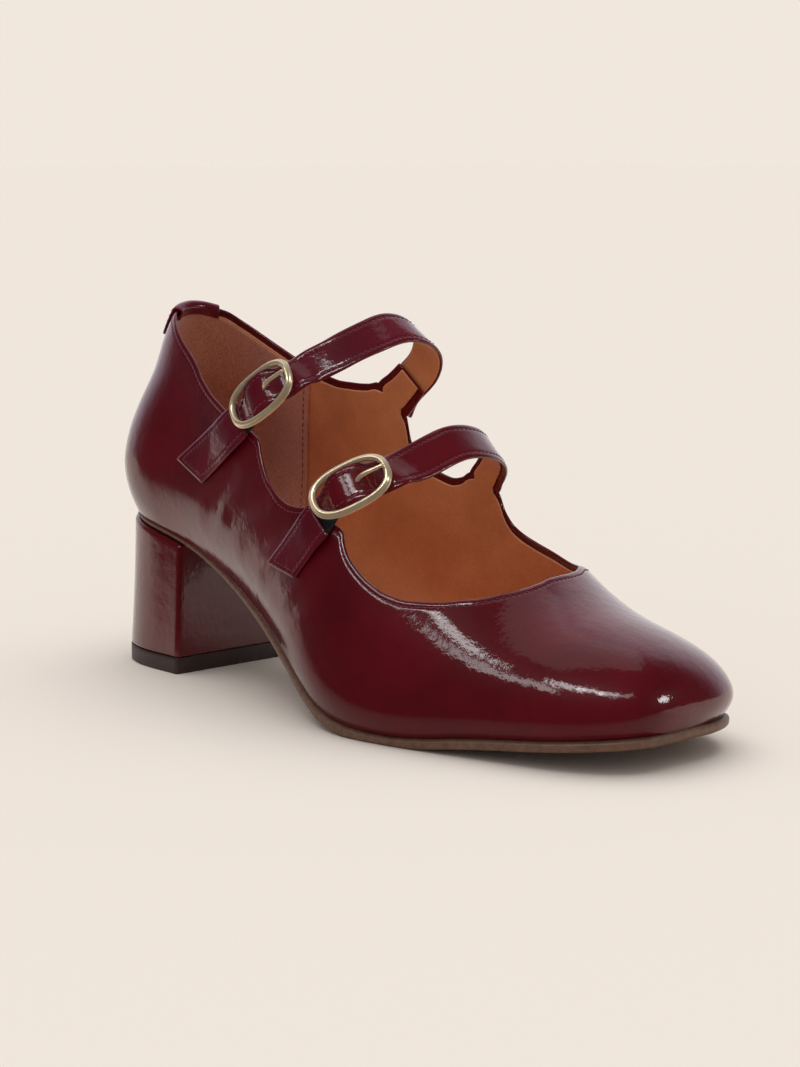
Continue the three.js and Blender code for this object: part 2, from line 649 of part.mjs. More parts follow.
// A plate with level or curved faces between two stations of the last: for each side a profile of
// points from its foot to its top, each an inset and a height.
function plate(name, from, to, stations, profile, material) {
  const positions = [];
  const index = [];
  const push = (p) => positions.push(p.x - HEEL_MIDDLE, p.y, p.z) / 3 - 1;
  const loops = [];
  for (let k = 0; k <= stations; k++) {
    const sweep = (1 - Math.cos((Math.PI * k) / stations)) / 2;
    const x = from + (to - from) * sweep;
    const sides = [-1, 1].map((side) =>
      profile(x, side).map(({ inset, z }) => new THREE.Vector3(x, side * insetWidth(x, side, inset), z)),
    );
    loops.push([...sides[0], ...sides[1].reverse()].map(push));
  }
  const size = loops[0].length;
  for (let k = 0; k < stations; k++) {
    for (let i = 0; i < size; i++) {
      const j = (i + 1) % size;
      index.push(loops[k][i], loops[k + 1][j], loops[k][j], loops[k][i], loops[k + 1][i], loops[k + 1][j]);
    }
  }
  for (let i = 1; i + 1 < size; i++) {
    index.push(loops[0][0], loops[0][i], loops[0][i + 1]);
    index.push(loops[stations][0], loops[stations][i + 1], loops[stations][i]);
  }
  const geometry = new THREE.BufferGeometry();
  geometry.setAttribute("position", new THREE.Float32BufferAttribute(positions, 3));
  geometry.setIndex(index);
  geometry.computeVertexNormals();
  const mesh = new THREE.Mesh(geometry, new THREE.MeshStandardMaterial(material));
  mesh.name = name;
  return mesh;
}

// The outsole: full under the forepart, thinning to a skin between the upper and the heel.
const soleThickness = (x) => {
  const share = clamp((x - BREAST) / 60, 0, 1);
  return SEAT_SOLE + (OUTSOLE - SEAT_SOLE) * share * share * (3 - 2 * share);
};
function makeOutsole() {
  const ends = soleInset(0) * BALL + 0.6;
  return plate("outsole", ends + 0.05, LENGTH - soleInset(1) * BALL - 0.65, 56, (x) => {
    const inset = soleInset(x / LENGTH) * BALL;
    const top = feather(x) - GAP / 2;
    const foot = Math.max(top - soleThickness(x), 0);
    return [
      { inset: inset + 0.6, z: foot },
      { inset, z: foot + (top - foot) * 0.4 },
      { inset, z: top - (top - foot) * 0.15 },
      { inset: inset + 0.3, z: top },
    ];
  }, EDGE);
}

function makeInsole() {
  const inset = (x) => tuckInset(x / LENGTH) * BALL + WALL + 0.6;
  return plate("insole", inset(0) + 0.05, LENGTH - inset(LENGTH) - 0.05, 40, (x) => [
    { inset: inset(x), z: feather(x) + GAP / 2 },
    { inset: inset(x), z: feather(x) + GAP / 2 + INSOLE },
  ], FOOTBED);
}

// The heel block: straight walls, its top following the seat, its front corners rounded.
const seat = (x) => feather(x) - GAP / 2 - SEAT_SOLE - GAP;
const CORNER = 1.2;
const cornerInset = (x) => {
  const into = clamp(x - (BREAST - CORNER), 0, CORNER);
  return CORNER - Math.sqrt(CORNER * CORNER - into * into);
};
function makeHeel() {
  const foot = TOP_PIECE + GAP;
  return plate("heel", HEEL_INSET + HEEL_TAPER + 0.1, BREAST, 26, (x) => {
    const top = seat(x);
    const corner = cornerInset(x);
    return [0, 0.35, 0.7, 1].map((share) => ({
      inset: HEEL_INSET + corner + HEEL_TAPER * share,
      z: foot + (top - foot) * share,
    }));
  }, PATENT);
}
function makeTopPiece() {
  return plate("top_piece", HEEL_INSET + 0.05, BREAST, 26, (x) => {
    const corner = cornerInset(x);
    return [
      { inset: HEEL_INSET + corner, z: 0 },
      { inset: HEEL_INSET + corner, z: TOP_PIECE },
    ];
  }, RUBBER);
}

// The small leather saddle folded over the topline at the back seam.
const SADDLE = { around: 0.078, down: 9, clear: 0.4, thick: 1.2, columns: 10 };
function makeHeelTab() {
  const clear = SADDLE.clear + SADDLE.thick;
  const fold = [
    { below: SADDLE.down, lift: 0 },
    { below: 4, lift: 0 },
    { below: 0, lift: 0 },
    { below: -0.3, lift: -1 },
    { below: 0, lift: -2 },
    { below: 3.5, lift: -2 },
    { below: SADDLE.down - 1, lift: -2 },
  ];
  const faces = [clear, SADDLE.clear];
  const sheets = faces.map((off) => {
    const made = [];
    for (let c = 0; c <= SADDLE.columns; c++) {
      const signed = -SADDLE.around + (2 * SADDLE.around * c) / SADDLE.columns;
      const side = signed < 0 ? -1 : 1;
      const up = column(Math.abs(signed), side);
      const full = risesTo(Math.abs(signed), side);
      fold.forEach(({ below, lift }) => {
        const onTop = below <= 0 ? off * (lift === -1 ? 1 : 0.7) : 0;
        const rise = full - below + onTop;
        const point = tucked(up(rise));
        const climb = tucked(up(rise + 0.3)).sub(tucked(up(rise - 0.3))).normalize();
        const toward = new THREE.Vector3(COUNTER.start * LENGTH - point.x, -point.y, 0);
        const out = toward.normalize().multiplyScalar(-1);
        out.addScaledVector(climb, -out.dot(climb)).normalize();
        const reach = lift === 0 ? off : lift === -1 ? -WALL / 2 : -WALL - off;
        made.push(point.addScaledVector(out, reach));
      });
    }
    return made;
  });
  const grid = [];
  for (let c = 0; c <= SADDLE.columns; c++) grid.push(fold.map((_, f) => c * fold.length + f));
  return shell("heel_tab", sheets[0], sheets[1], gridTriangles(grid), PATENT);
}

// The buckle: an oval rim of stepped section, and a centre bar joined into it.
function makeBuckle(name, frame) {
  const profile = [
    { wide: -0.5, deep: -0.5 },
    { wide: 0.5, deep: -0.5 },
    { wide: 0.5, deep: 0.0 },
    { wide: 0.12, deep: 0.5 },
    { wide: -0.3, deep: 0.5 },
    { wide: -0.5, deep: 0.1 },
  ];
  const rounds = 40;
  const positions = [];
  const index = [];
  const put = (p) => positions.push(p.x - HEEL_MIDDLE, p.y, p.z) / 3 - 1;
  for (let k = 0; k < rounds; k++) {
    const angle = (2 * Math.PI * k) / rounds;
    const [ahead, sideways] = [Math.cos(angle), Math.sin(angle)].map(
      (turn) => Math.sign(turn) * Math.abs(turn) ** (2 / RING_SQUARE),
    );
    for (const { wide, deep } of profile) {
      const a = (RING_LONG / 2 - RING_BAR / 2 + wide * RING_BAR) * ahead;
      const w = (RING_WIDE / 2 - RING_BAR / 2 + wide * RING_BAR) * sideways;
      put(frame.at(a, RING_LIFT + deep * RING_DEEP, w));
    }
  }
  const size = profile.length;
  for (let k = 0; k < rounds; k++) {
    for (let i = 0; i < size; i++) {
      const [a, b] = [k * size + i, k * size + ((i + 1) % size)];
      const [d, e] = [((k + 1) % rounds) * size + i, ((k + 1) % rounds) * size + ((i + 1) % size)];
      index.push(a, e, b, a, d, e);
    }
  }
  const rim = solid(positions, index);
  const bar = tube([-1, 1].map((end) => frame.at(0, PIN_LIFT, end * (RING_WIDE / 2 - RING_BAR * 0.6))), PIN, 10);
  const joined = rim.add(solid(bar.positions, bar.index));
  const mesh = joined.getMesh();
  const geometry = new THREE.BufferGeometry();
  geometry.setAttribute("position", new THREE.BufferAttribute(mesh.vertProperties, 3));
  geometry.setIndex(new THREE.BufferAttribute(mesh.triVerts, 1));
  geometry.computeVertexNormals();
  const made = new THREE.Mesh(geometry, new THREE.MeshStandardMaterial(GOLD));
  made.name = name;
  return made;
}

// A solid for joining, turned to face out if its rounds ran the other way.
function solid(positions, index) {
  const build = (triVerts) =>
    new wasm.Manifold(
      new wasm.Mesh({
        numProp: 3,
        vertProperties: new Float32Array(positions),
        triVerts: new Uint32Array(triVerts),
      }),
    );
  const made = build(index);
  if (made.volume() > 0) return made;
  const turned = [];
  for (let i = 0; i < index.length; i += 3) turned.push(index[i], index[i + 2], index[i + 1]);
  return build(turned);
}

// A round wire along points that lie in one plane, with flat ends.
function tube(points, radius, sides) {
  const positions = [];
  const index = [];
  const last = points.length - 1;
  const chord = points[last].clone().sub(points[0]).normalize();
  const elbow = points[Math.floor(last / 2)].clone().sub(points[0]);
  let plane = elbow.clone().cross(chord);
  if (plane.lengthSq() < 1e-6) plane = chord.clone().cross(new THREE.Vector3(0, 0, 1));
  plane.normalize();
  points.forEach((p, i) => {
    const ahead = points[Math.min(i + 1, last)].clone().sub(points[Math.max(i - 1, 0)]).normalize();
    const out = ahead.clone().cross(plane).normalize();
    for (let s = 0; s < sides; s++) {
      const angle = (2 * Math.PI * s) / sides;
      const q = p.clone().addScaledVector(out, radius * Math.cos(angle));
      q.addScaledVector(plane, radius * Math.sin(angle));
      positions.push(q.x - HEEL_MIDDLE, q.y, q.z);
    }
  });
  for (let i = 0; i < last; i++) {
    for (let s = 0; s < sides; s++) {
      const [a, b] = [i * sides + s, i * sides + ((s + 1) % sides)];
      index.push(a, b, b + sides, a, b + sides, a + sides);
    }
  }
  for (let s = 1; s + 1 < sides; s++) {
    index.push(0, s + 1, s);
    index.push(last * sides, last * sides + s, last * sides + s + 1);
  }
  return { positions, index };
}

function makeProng(name, frame) {
  const made = tube(TONGUE.map(({ along, out }) => frame.at(along, out)), PRONG, 7);
  const mesh = solid(made.positions, made.index).getMesh();
  const geometry = new THREE.BufferGeometry();
  geometry.setAttribute("position", new THREE.BufferAttribute(mesh.vertProperties, 3));
  geometry.setIndex(new THREE.BufferAttribute(mesh.triVerts, 1));
  geometry.computeVertexNormals();
  const prong = new THREE.Mesh(geometry, new THREE.MeshStandardMaterial(GOLD));
  prong.name = name;
  return prong;
}

// Elastic: under its tab, up over the wing's edge and round the centre bar.
function makeElastic(name, tabRows, frame) {
  const under = tabRows.slice(-2).map((row) => laid({ ...row, lift: GAP + ELASTIC_THICK, steps: 2 }, ELASTIC));
  const hook = HOOK.map((row) => inBuckle(frame, { ...row, out: row.out + ELASTIC_THICK / 2 }, ELASTIC));
  return strip(name, run([...under, ...hook]), ELASTIC_THICK, WEBBING);
}

const shoe = new THREE.Group();
shoe.add(makeUpper());
shoe.add(
  strip(
    "strap_rear",
    run([
      ...REAR_STRAP.map((row) => laid(row, row.wide * STRAP)),
      ...BUCKLED.map((row) => inBuckle(rearFrame, row, row.wide * STRAP)),
    ]),
    STRAP_THICK,
    PATENT,
  ),
);
shoe.add(strip("tab_front", run(FRONT_TAB.map((row) => laid(row, TAB))), TAB_THICK, PATENT));
shoe.add(strip("tab_rear", run(REAR_TAB.map((row) => laid(row, TAB))), TAB_THICK, PATENT));
shoe.add(makeElastic("elastic_front", FRONT_TAB, frontFrame));
shoe.add(makeElastic("elastic_rear", REAR_TAB, rearFrame));
shoe.add(makeBuckle("buckle_front", frontFrame));
shoe.add(makeBuckle("buckle_rear", rearFrame));
shoe.add(makeProng("prong_front", frontFrame));
shoe.add(makeProng("prong_rear", rearFrame));
shoe.add(makeHeelTab());
shoe.add(makeInsole());
shoe.add(makeOutsole());
shoe.add(makeHeel());
shoe.add(makeTopPiece());

export default shoe;
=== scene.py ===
"""Looks of a right mary jane shoe in crinkled patent leather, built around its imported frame.

Lengths are in millimetres in the last's own frame until a mesh is made: x from the back of the last
to the toe, y to the inner side, z up from the floor.
"""
import math

import bpy
import numpy as np
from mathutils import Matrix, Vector, noise


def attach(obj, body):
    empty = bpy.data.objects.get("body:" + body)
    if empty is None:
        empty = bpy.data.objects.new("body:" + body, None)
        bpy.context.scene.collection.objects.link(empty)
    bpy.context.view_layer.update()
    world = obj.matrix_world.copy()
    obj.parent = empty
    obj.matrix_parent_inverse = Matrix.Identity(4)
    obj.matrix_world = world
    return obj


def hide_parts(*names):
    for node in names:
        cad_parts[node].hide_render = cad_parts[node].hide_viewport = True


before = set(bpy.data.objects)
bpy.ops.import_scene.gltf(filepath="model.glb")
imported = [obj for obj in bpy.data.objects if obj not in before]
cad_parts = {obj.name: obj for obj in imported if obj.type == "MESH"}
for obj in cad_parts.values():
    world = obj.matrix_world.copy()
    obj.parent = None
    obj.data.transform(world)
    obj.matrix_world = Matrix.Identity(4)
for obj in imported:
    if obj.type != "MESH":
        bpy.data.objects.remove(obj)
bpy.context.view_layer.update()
MM = 0.001

# Driving sizes, as in the imported frame.
LENGTH = 245.0
BALL = 88.0
HEEL = 48.0
INSTEP = 100.0
BACK = 68.5
SOLE = 3.5
GAP = 0.3
SEAT_SOLE = 1.8
OUTSOLE = 3.2
INSOLE = 2.4
TOP_PIECE = 5.5
BREAST = 44.4
HEEL_INSET = 1.2
HEEL_TAPER = 1.8
HEEL_CORNER = 1.2
HEEL_MIDDLE = (HEEL_INSET + BREAST) / 2
STRAP = 12.6
TAB = 13.0
ELASTIC = 10.4
RING_LONG = 27.0
RING_WIDE = 17.4
RING_BAR = 2.1
RING_DEEP = 2.0
RING_LIFT = 4.0
RING_SQUARE = 2.6
PIN = 0.75
PIN_LIFT = 2.3
PRONG = 0.7
TOE_START, TOE_POWER = 0.858, 2.68
COUNTER_START, COUNTER_POWER = 0.14, 2.41

# Leather layers of the looks.
SKIN = 1.1
LINING = 0.75
HEM = 1.5  # stitch line inside a folded edge
FOLD = 2.3  # width of the skin's folded edge seen inside
LAYER_GAP = 0.02  # between the skin and what lines it
STRAP_LINING = 0.5
STRAP_LINING_WIDE = 0.94  # share of the strap
TAB_THICK = 1.3
STRAP_RELIEF = 0.05
STRAP_SEED = 1.0


def table(columns, *rows):
    """Rows of numbers as named columns."""
    return dict(zip(columns.split(), np.array(rows, float).T))


LAST = table(
    "at outer inner tread top ridge outer_bow inner_bow",
    (0.0, 0.352, 0.341, 1.05, 0.86, 0.0, 0.46, 0.46),
    (0.08, 0.345, 0.341, 0.985, 0.84, 0.0, 0.46, 0.46),
    (0.16, 0.343, 0.339, 0.904, 0.89, 0.0, 0.45, 0.45),
    (0.26, 0.364, 0.325, 0.742, 0.97, 0.011, 0.45, 0.42),
    (0.36, 0.411, 0.314, 0.519, 1.03, 0.04, 0.45, 0.3),
    (0.46, 0.48, 0.336, 0.258, 1.01, 0.091, 0.45, 0.19),
    (0.55, 0.543, 0.398, 0.054, 0.89, 0.08, 0.45, 0.27),
    (0.62, 0.55, 0.451, -0.008, 0.755, 0.063, 0.45, 0.36),
    (0.7, 0.511, 0.486, -0.008, 0.575, 0.045, 0.44, 0.4),
    (0.78, 0.457, 0.4875, 0.045, 0.408, 0.034, 0.43, 0.41),
    (0.86, 0.4, 0.47, 0.088, 0.312, 0.023, 0.42, 0.41),
    (0.94, 0.35, 0.449, 0.133, 0.255, 0.017, 0.41, 0.4),
    (1.0, 0.32, 0.436, 0.167, 0.235, 0.011, 0.41, 0.4),
)
TUCK = table(
    "at inset reach",
    (0.0, 0.04, 0.2), (0.3, 0.06, 0.22), (0.45, 0.06, 0.2), (0.62, 0.04, 0.1), (0.8, 0.034, 0.08),
    (1.0, 0.034, 0.08),
)
LEAN = table(
    "height inset",
    (0.0, 0.0), (0.27, -0.005), (0.415, 0.009), (0.565, 0.04), (0.715, 0.072), (0.865, 0.078), (1.015, 0.084),
)
COUNTER_LEAN = 0.3
SOLE_EDGE = table(
    "at inset",
    (0.0, 0.042), (0.2, 0.056), (0.35, 0.06), (0.5, 0.045), (0.62, 0.022), (0.8, 0.018), (1.0, 0.018),
)
OUTER_TOPLINE = table(
    "around rise",
    (0.0, 1.015), (0.1, 0.996), (0.15, 0.963), (0.2, 0.91), (0.25, 0.85), (0.281, 0.797), (0.315, 0.766),
    (0.345, 0.763), (0.385, 0.785), (0.402, 0.79), (0.41, 0.752), (0.421, 0.708), (0.434, 0.68),
    (0.446, 0.674), (0.461, 0.689), (0.474, 0.722), (0.489, 0.774), (0.505, 0.808), (0.533, 0.82),
    (0.541, 0.776), (0.55, 0.735), (0.564, 0.695), (0.583, 0.652), (0.604, 0.618), (0.628, 0.601),
    (0.655, 0.602), (0.706, 0.642), (0.786, 0.788), (0.86, 0.925), (0.93, 1.018), (1.0, 1.063),
)
INNER_TOPLINE = table(
    "around rise",
    (0.0, 1.015), (0.1, 0.993), (0.141, 0.955), (0.2, 0.893), (0.251, 0.845), (0.285, 0.822), (0.32, 0.832),
    (0.35, 0.872), (0.375, 0.923), (0.392, 0.97), (0.411, 0.985), (0.431, 0.92), (0.438, 0.815),
    (0.446, 0.77), (0.457, 0.76), (0.47, 0.773), (0.484, 0.79), (0.495, 0.83), (0.503, 0.88),
    (0.517, 0.915), (0.531, 0.865), (0.538, 0.775), (0.547, 0.727), (0.563, 0.698), (0.596, 0.668),
    (0.63, 0.642), (0.66, 0.65), (0.71, 0.715), (0.786, 0.863), (0.86, 0.976), (0.93, 1.04), (1.0, 1.063),
)
REAR_ROOT = (0.392, 0.431)
FRONT_ROOT = (0.503, 0.531)

# Leather laid along the last: share of LENGTH, how far over, outer face above the last in mm, share of
# STRAP.
REAR_WING = table(
    "at over lift wide", (0.378, 0.893, 0, 1.4), (0.396, 0.868, 0, 1.15), (0.413, 0.828, 0, 1.02),
)
FRONT_STRAP = table(
    "at over lift wide",
    (0.5295, 0.905, 0, 1.3), (0.5425, 0.83, 0, 1.08), (0.558, 0.71, 0, 1.0), (0.574, 0.53, 0, 1.0),
    (0.588, 0.28, 0, 1.0), (0.593, 0.0, 0, 1.0), (0.5945, -0.2, 0, 1.0), (0.5905, -0.4, 0, 1.0),
)
REAR_STRAP = table(
    "at over lift wide",
    (0.378, 0.907, 1.9, 1.0), (0.394, 0.868, 1.9, 1.0), (0.412, 0.828, 2.1, 1.0), (0.43, 0.76, 2.3, 1.0),
    (0.445, 0.6, 2.6, 1.0), (0.453, 0.35, 2.0, 1.0), (0.4545, 0.06, 0.6, 1.0), (0.4558, -0.2, 0.2, 1.0),
    (0.447, -0.4, 0.0, 1.0), (0.4375, -0.5, 0.0, 1.0),
)
FRONT_TAB = table(
    "at over lift skew",
    (0.471, -0.962, 1.7, 0.55), (0.5, -0.915, 1.7, 0), (0.517, -0.875, 2.7, 0), (0.525, -0.85, 2.8, 0),
)
REAR_TAB = table(
    "at over lift skew",
    (0.2285, -0.965, 1.7, 0.6), (0.277, -0.926, 1.7, 0), (0.308, -0.893, 2.6, 0), (0.3348, -0.8535, 2.6, 0),
)
FRONT_BUCKLE = {"at": 0.5532, "over": -0.7128, "to_at": 0.5974, "to_over": -0.4142}
REAR_BUCKLE = {"at": 0.3703, "over": -0.7757, "to_at": 0.4305, "to_over": -0.5813}
BUCKLED = table(
    "along out aside wide",
    (15.5, -1.5, -1.3, 1.0), (12, 0.9, -0.2, 0.95), (8, 1.6, 0, 0.92), (4.8, 4.2, 0, 0.95),
    (0.8, 5.3, 0, 0.97), (-3.5, 4.9, 0, 0.97), (-6.8, 3.5, 0, 0.86), (-9, 2.3, 0, 0.66), (-11.5, 1.9, 0, 0.4),
)
HOOK = table("along out", (-8.5, -0.2), (-3.2, 0.5), (0, 0.8), (1.5, 1.6), (1.6, 2.2))
TONGUE = table(
    "along out",
    (-0.6, 0.7), (1.3, 1.2), (2.3, 2.8), (3.1, 5.0), (4.8, 6.1), (8.5, 6.2), (12.5, 5.85),
)


# Curves through tables.
def natural(x, y):
    """A natural cubic through points."""
    n = len(x)
    h = np.diff(x)
    system = np.eye(n)
    turn = np.zeros(n)
    for i in range(1, n - 1):
        system[i, i - 1:i + 2] = h[i - 1], 2 * (h[i - 1] + h[i]), h[i]
        turn[i] = 6 * ((y[i + 1] - y[i]) / h[i] - (y[i] - y[i - 1]) / h[i - 1])
    bend = np.linalg.solve(system, turn)

    def value(at):
        at = np.asarray(at, float)
        i = np.clip(np.searchsorted(x, at) - 1, 0, n - 2)
        a = (x[i + 1] - at) / h[i]
        b = (at - x[i]) / h[i]
        return a * y[i] + b * y[i + 1] + ((a**3 - a) * bend[i] + (b**3 - b) * bend[i + 1]) * h[i]**2 / 6

    return value


def steady(x, y):
    """A cubic through points that never passes them."""
    h = np.diff(x)
    rate = np.diff(y) / h
    slope = np.zeros(len(x))
    same = rate[:-1] * rate[1:] > 0
    total = np.where(same, rate[:-1] + rate[1:], 1.0)
    slope[1:-1] = np.where(same, 2 * rate[:-1] * rate[1:] / total, 0)

    def value(at):
        at = np.asarray(at, float)
        i = np.clip(np.searchsorted(x, at) - 1, 0, len(x) - 2)
        u = (at - x[i]) / h[i]
        ease = u * u * (3 - 2 * u)
        start, end = u * (1 - u)**2 * slope[i], u * u * (1 - u) * slope[i + 1]
        return y[i] + (y[i + 1] - y[i]) * ease + h[i] * (start - end)

    return value


last = {name: natural(LAST["at"], LAST[name]) for name in LAST if name != "at"}
tuck_inset = natural(TUCK["at"], TUCK["inset"])
tuck_reach = natural(TUCK["at"], TUCK["reach"])
lean_inset = natural(LEAN["height"], LEAN["inset"])
sole_inset = steady(SOLE_EDGE["at"], SOLE_EDGE["inset"])
topline = {
    -1: steady(OUTER_TOPLINE["around"], OUTER_TOPLINE["rise"]),
    1: steady(INNER_TOPLINE["around"], INNER_TOPLINE["rise"]),
}


# The last.
def rounding(x):
    toe = np.clip((x / LENGTH - TOE_START) / (1 - TOE_START), 0, 1)
    back = np.clip((COUNTER_START - x / LENGTH) / COUNTER_START, 0, 1)
    return (1 - toe**TOE_POWER)**(1 / TOE_POWER) * (1 - back**COUNTER_POWER)**(1 / COUNTER_POWER)


def full_width(x, side):
    return np.where(np.asarray(side) < 0, last["outer"](x / LENGTH), last["inner"](x / LENGTH)) * BALL


def feather(x):
    return last["tread"](x / LENGTH) * HEEL + SOLE


def ridge(x):
    return last["ridge"](x / LENGTH) * BALL * rounding(x)


def section(x):
    """Ridge, half widths from it and height of the section at x."""
    mid = ridge(x)
    outer = full_width(x, -1) * rounding(x) + mid
    inner = full_width(x, 1) * rounding(x) - mid
    return mid, outer, inner, last["top"](x / LENGTH) * INSTEP * rounding(x)


def bulge(x, over, top):
    share = (over + 1) / 2
    bow = (1 - share) * last["outer_bow"](x / LENGTH) + share * last["inner_bow"](x / LENGTH)
    return top * np.maximum(1 - over * over, 0)**bow


def on_last(x, over):
    mid, outer, inner, top = section(x)
    y = mid + (inner + outer) / 2 * over + (inner - outer) / 2 * over * over
    return np.stack(np.broadcast_arrays(x, y, feather(x) + bulge(x, over, top)), -1)


def last_height(x, y):
    mid, outer, inner, top = section(x)
    skew, half = (inner - outer) / 2, (inner + outer) / 2
    root = np.sqrt(np.maximum(half * half + 4 * skew * (y - mid), 0))
    over = np.clip(2 * (y - mid) / np.maximum(half + root, 1e-9), -1, 1)
    return feather(x) + bulge(x, over, top)


def unit(v):
    return v / np.maximum(np.linalg.norm(v, axis=-1, keepdims=True), 1e-12)


def lengths_along(line):
    """Length up to each point of a line."""
    return np.concatenate([[0], np.cumsum(np.linalg.norm(np.diff(line, axis=0), axis=1))])


def last_normal(x, over):
    step = 0.002
    ahead = on_last(x + step * LENGTH, over) - on_last(x - step * LENGTH, over)
    across = on_last(x, over + step) - on_last(x, over - step)
    return unit(np.cross(ahead, across))


def inset_width(x, side, inset):
    source = np.clip((x - inset) * LENGTH / (LENGTH - 2 * inset), 0, LENGTH)
    return (full_width(source, side) - inset) * rounding(source)


def tucked(p):
    """Points of the last drawn in towards the feather edge, and over the heel towards the topline."""
    x, y, z = p[..., 0], p[..., 1], p[..., 2]
    height = z - feather(x)
    near = np.clip(1 - height / (tuck_reach(x / LENGTH) * INSTEP), 0, 1)
    to_back = np.clip(1 - x / (COUNTER_LEAN * LENGTH), 0, 1)
    lean = lean_inset(np.clip(height / BACK, 0, 1.1)) * to_back
    inset = (tuck_inset(x / LENGTH) * near**2 + lean) * BALL
    width = full_width(x, np.where(y < 0, -1, 1))
    moved_x = inset + x * (LENGTH - 2 * inset) / LENGTH
    moved_z = np.where(near > 0, feather(moved_x) + height, z)
    return np.stack([moved_x, y * (width - inset) / width, moved_z], -1)


# The line inside the opening that the upper's columns climb towards.
SPINE_BACK, SPINE_FRONT, SPINE_LEAD = 0.14, 0.61, 3.2
CLIMB_POINTS = 161


def climb(around, side, rises):
    """Points up the last: for each place round it, one for each rise from the feather line."""
    around, side, rises = np.asarray(around, float), np.asarray(side, float), np.asarray(rises, float)
    foot = np.clip(LENGTH * (1 - np.cos(np.pi * around)) / 2, 1e-3, LENGTH - 1e-3)
    foot_y = side * full_width(foot, side) * rounding(foot)
    lead = 1 - (1 - foot / LENGTH)**SPINE_LEAD
    head = (SPINE_BACK + (SPINE_FRONT - SPINE_BACK) * lead) * LENGTH
    share = 1 - np.cos(np.pi / 2 * np.linspace(0, 1, CLIMB_POINTS))
    x = foot[:, None] + (head - foot)[:, None] * share
    y = foot_y[:, None] + (ridge(head) - foot_y)[:, None] * share
    z = last_height(x, y)
    z[:, 0] = feather(foot)
    line = np.stack([x, y, z], -1)
    steps = np.linalg.norm(np.diff(line, axis=1), axis=2)
    length = np.concatenate([np.zeros((len(foot), 1)), np.cumsum(steps, 1)], 1)
    made = np.empty(rises.shape + (3,))
    for i in range(len(foot)):
        for axis in range(3):
            made[i, :, axis] = np.interp(rises[i], length[i], line[i, :, axis])
    return made


def full_rise(around, side):
    return np.where(np.asarray(side) < 0, topline[-1](around), topline[1](around)) * BACK


# Meshes.
def linked(name, data):
    """A new object in the scene."""
    made = bpy.data.objects.new(name, data)
    bpy.context.scene.collection.objects.link(made)
    return made


def mesh(name, points, faces, look, nodes=()):
    """One piece of the shoe from points in the last's frame."""
    places = (np.asarray(points) - (HEEL_MIDDLE, 0, 0)) * MM
    data = bpy.data.meshes.new(name)
    data.from_pydata(places.tolist(), [], [list(map(int, f)) for f in faces])
    data.validate()
    data.polygons.foreach_set("use_smooth", [True] * len(data.polygons))
    piece = linked(name, data)
    data.materials.append(look)
    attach(piece, "root")
    if nodes:
        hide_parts(*nodes)
    return piece


def grid_quads(ids):
    """Quads of a grid of point numbers."""
    ids = np.asarray(ids)
    return np.stack([ids[:-1, :-1], ids[:-1, 1:], ids[1:, 1:], ids[1:, :-1]], -1).reshape(-1, 4)


def closed(ids):
    """Point numbers with the first column again after the last."""
    return np.concatenate([ids, ids[:, :1]], 1)


def sheet_quads(sheet):
    """Quads of a sheet of points, row by row."""
    return grid_quads(np.arange(sheet.shape[0] * sheet.shape[1]).reshape(sheet.shape[:2]))


def sheet_normals(points, quads):
    diagonal = np.cross(points[quads[:, 2]] - points[quads[:, 0]], points[quads[:, 3]] - points[quads[:, 1]])
    normals = np.zeros_like(points)
    for k in range(4):
        np.add.at(normals, quads[:, k], diagonal)
    return unit(normals)


def open_edges(quads, count):
    """Directed edges that only one quad has."""
    start = quads.reshape(-1)
    end = np.roll(quads, -1, axis=1).reshape(-1)
    return np.stack([start, end], 1)[~np.isin(start * count + end, end * count + start)]


def leather(name, points, quads, thick, look, nodes=(), rim=4):
    """A closed body of leather under a sheet of quads, with its edges rounded."""
    count = len(points)
    normals = sheet_normals(points, quads)
    edges = open_edges(quads, count)
    outward = np.zeros_like(points)
    ahead = unit(points[edges[:, 1]] - points[edges[:, 0]])
    for k in range(2):
        np.add.at(outward, edges[:, k], np.cross(ahead, normals[edges[:, k]]))
    outward = unit(outward)
    edge_points = np.unique(edges)
    layers = [np.arange(count)]
    made = [points]
    offset = count
    for step in range(1, rim):
        angle = math.pi * step / rim
        shift = normals * (math.cos(angle) - 1) + outward * math.sin(angle)
        ring = points + shift * (thick / 2)
        layer = np.full(count, -1)
        layer[edge_points] = offset + np.arange(len(edge_points))
        made.append(ring[edge_points])
        layers.append(layer)
        offset += len(edge_points)
    made.append(points - normals * thick)
    layers.append(offset + np.arange(count))
    faces = [quads, (offset + quads)[:, ::-1]]
    a, b = edges[:, 0], edges[:, 1]
    for upper_layer, lower_layer in zip(layers, layers[1:]):
        faces.append(np.stack([upper_layer[b], upper_layer[a], lower_layer[a], lower_layer[b]], 1))
    return mesh(name, np.concatenate(made), np.concatenate(faces), look, nodes)


def loft(name, loops, look, nodes=()):
    """Closed loops of equal size joined in order, with flat caps."""
    size = len(loops[0])
    points = np.concatenate(loops)
    ids = np.arange(len(points)).reshape(len(loops), size)
    faces = [list(q) for q in grid_quads(closed(ids))]
    faces += [list(range(size))[::-1], list(range(len(points) - size, len(points)))]
    return mesh(name, points, faces, look, nodes)


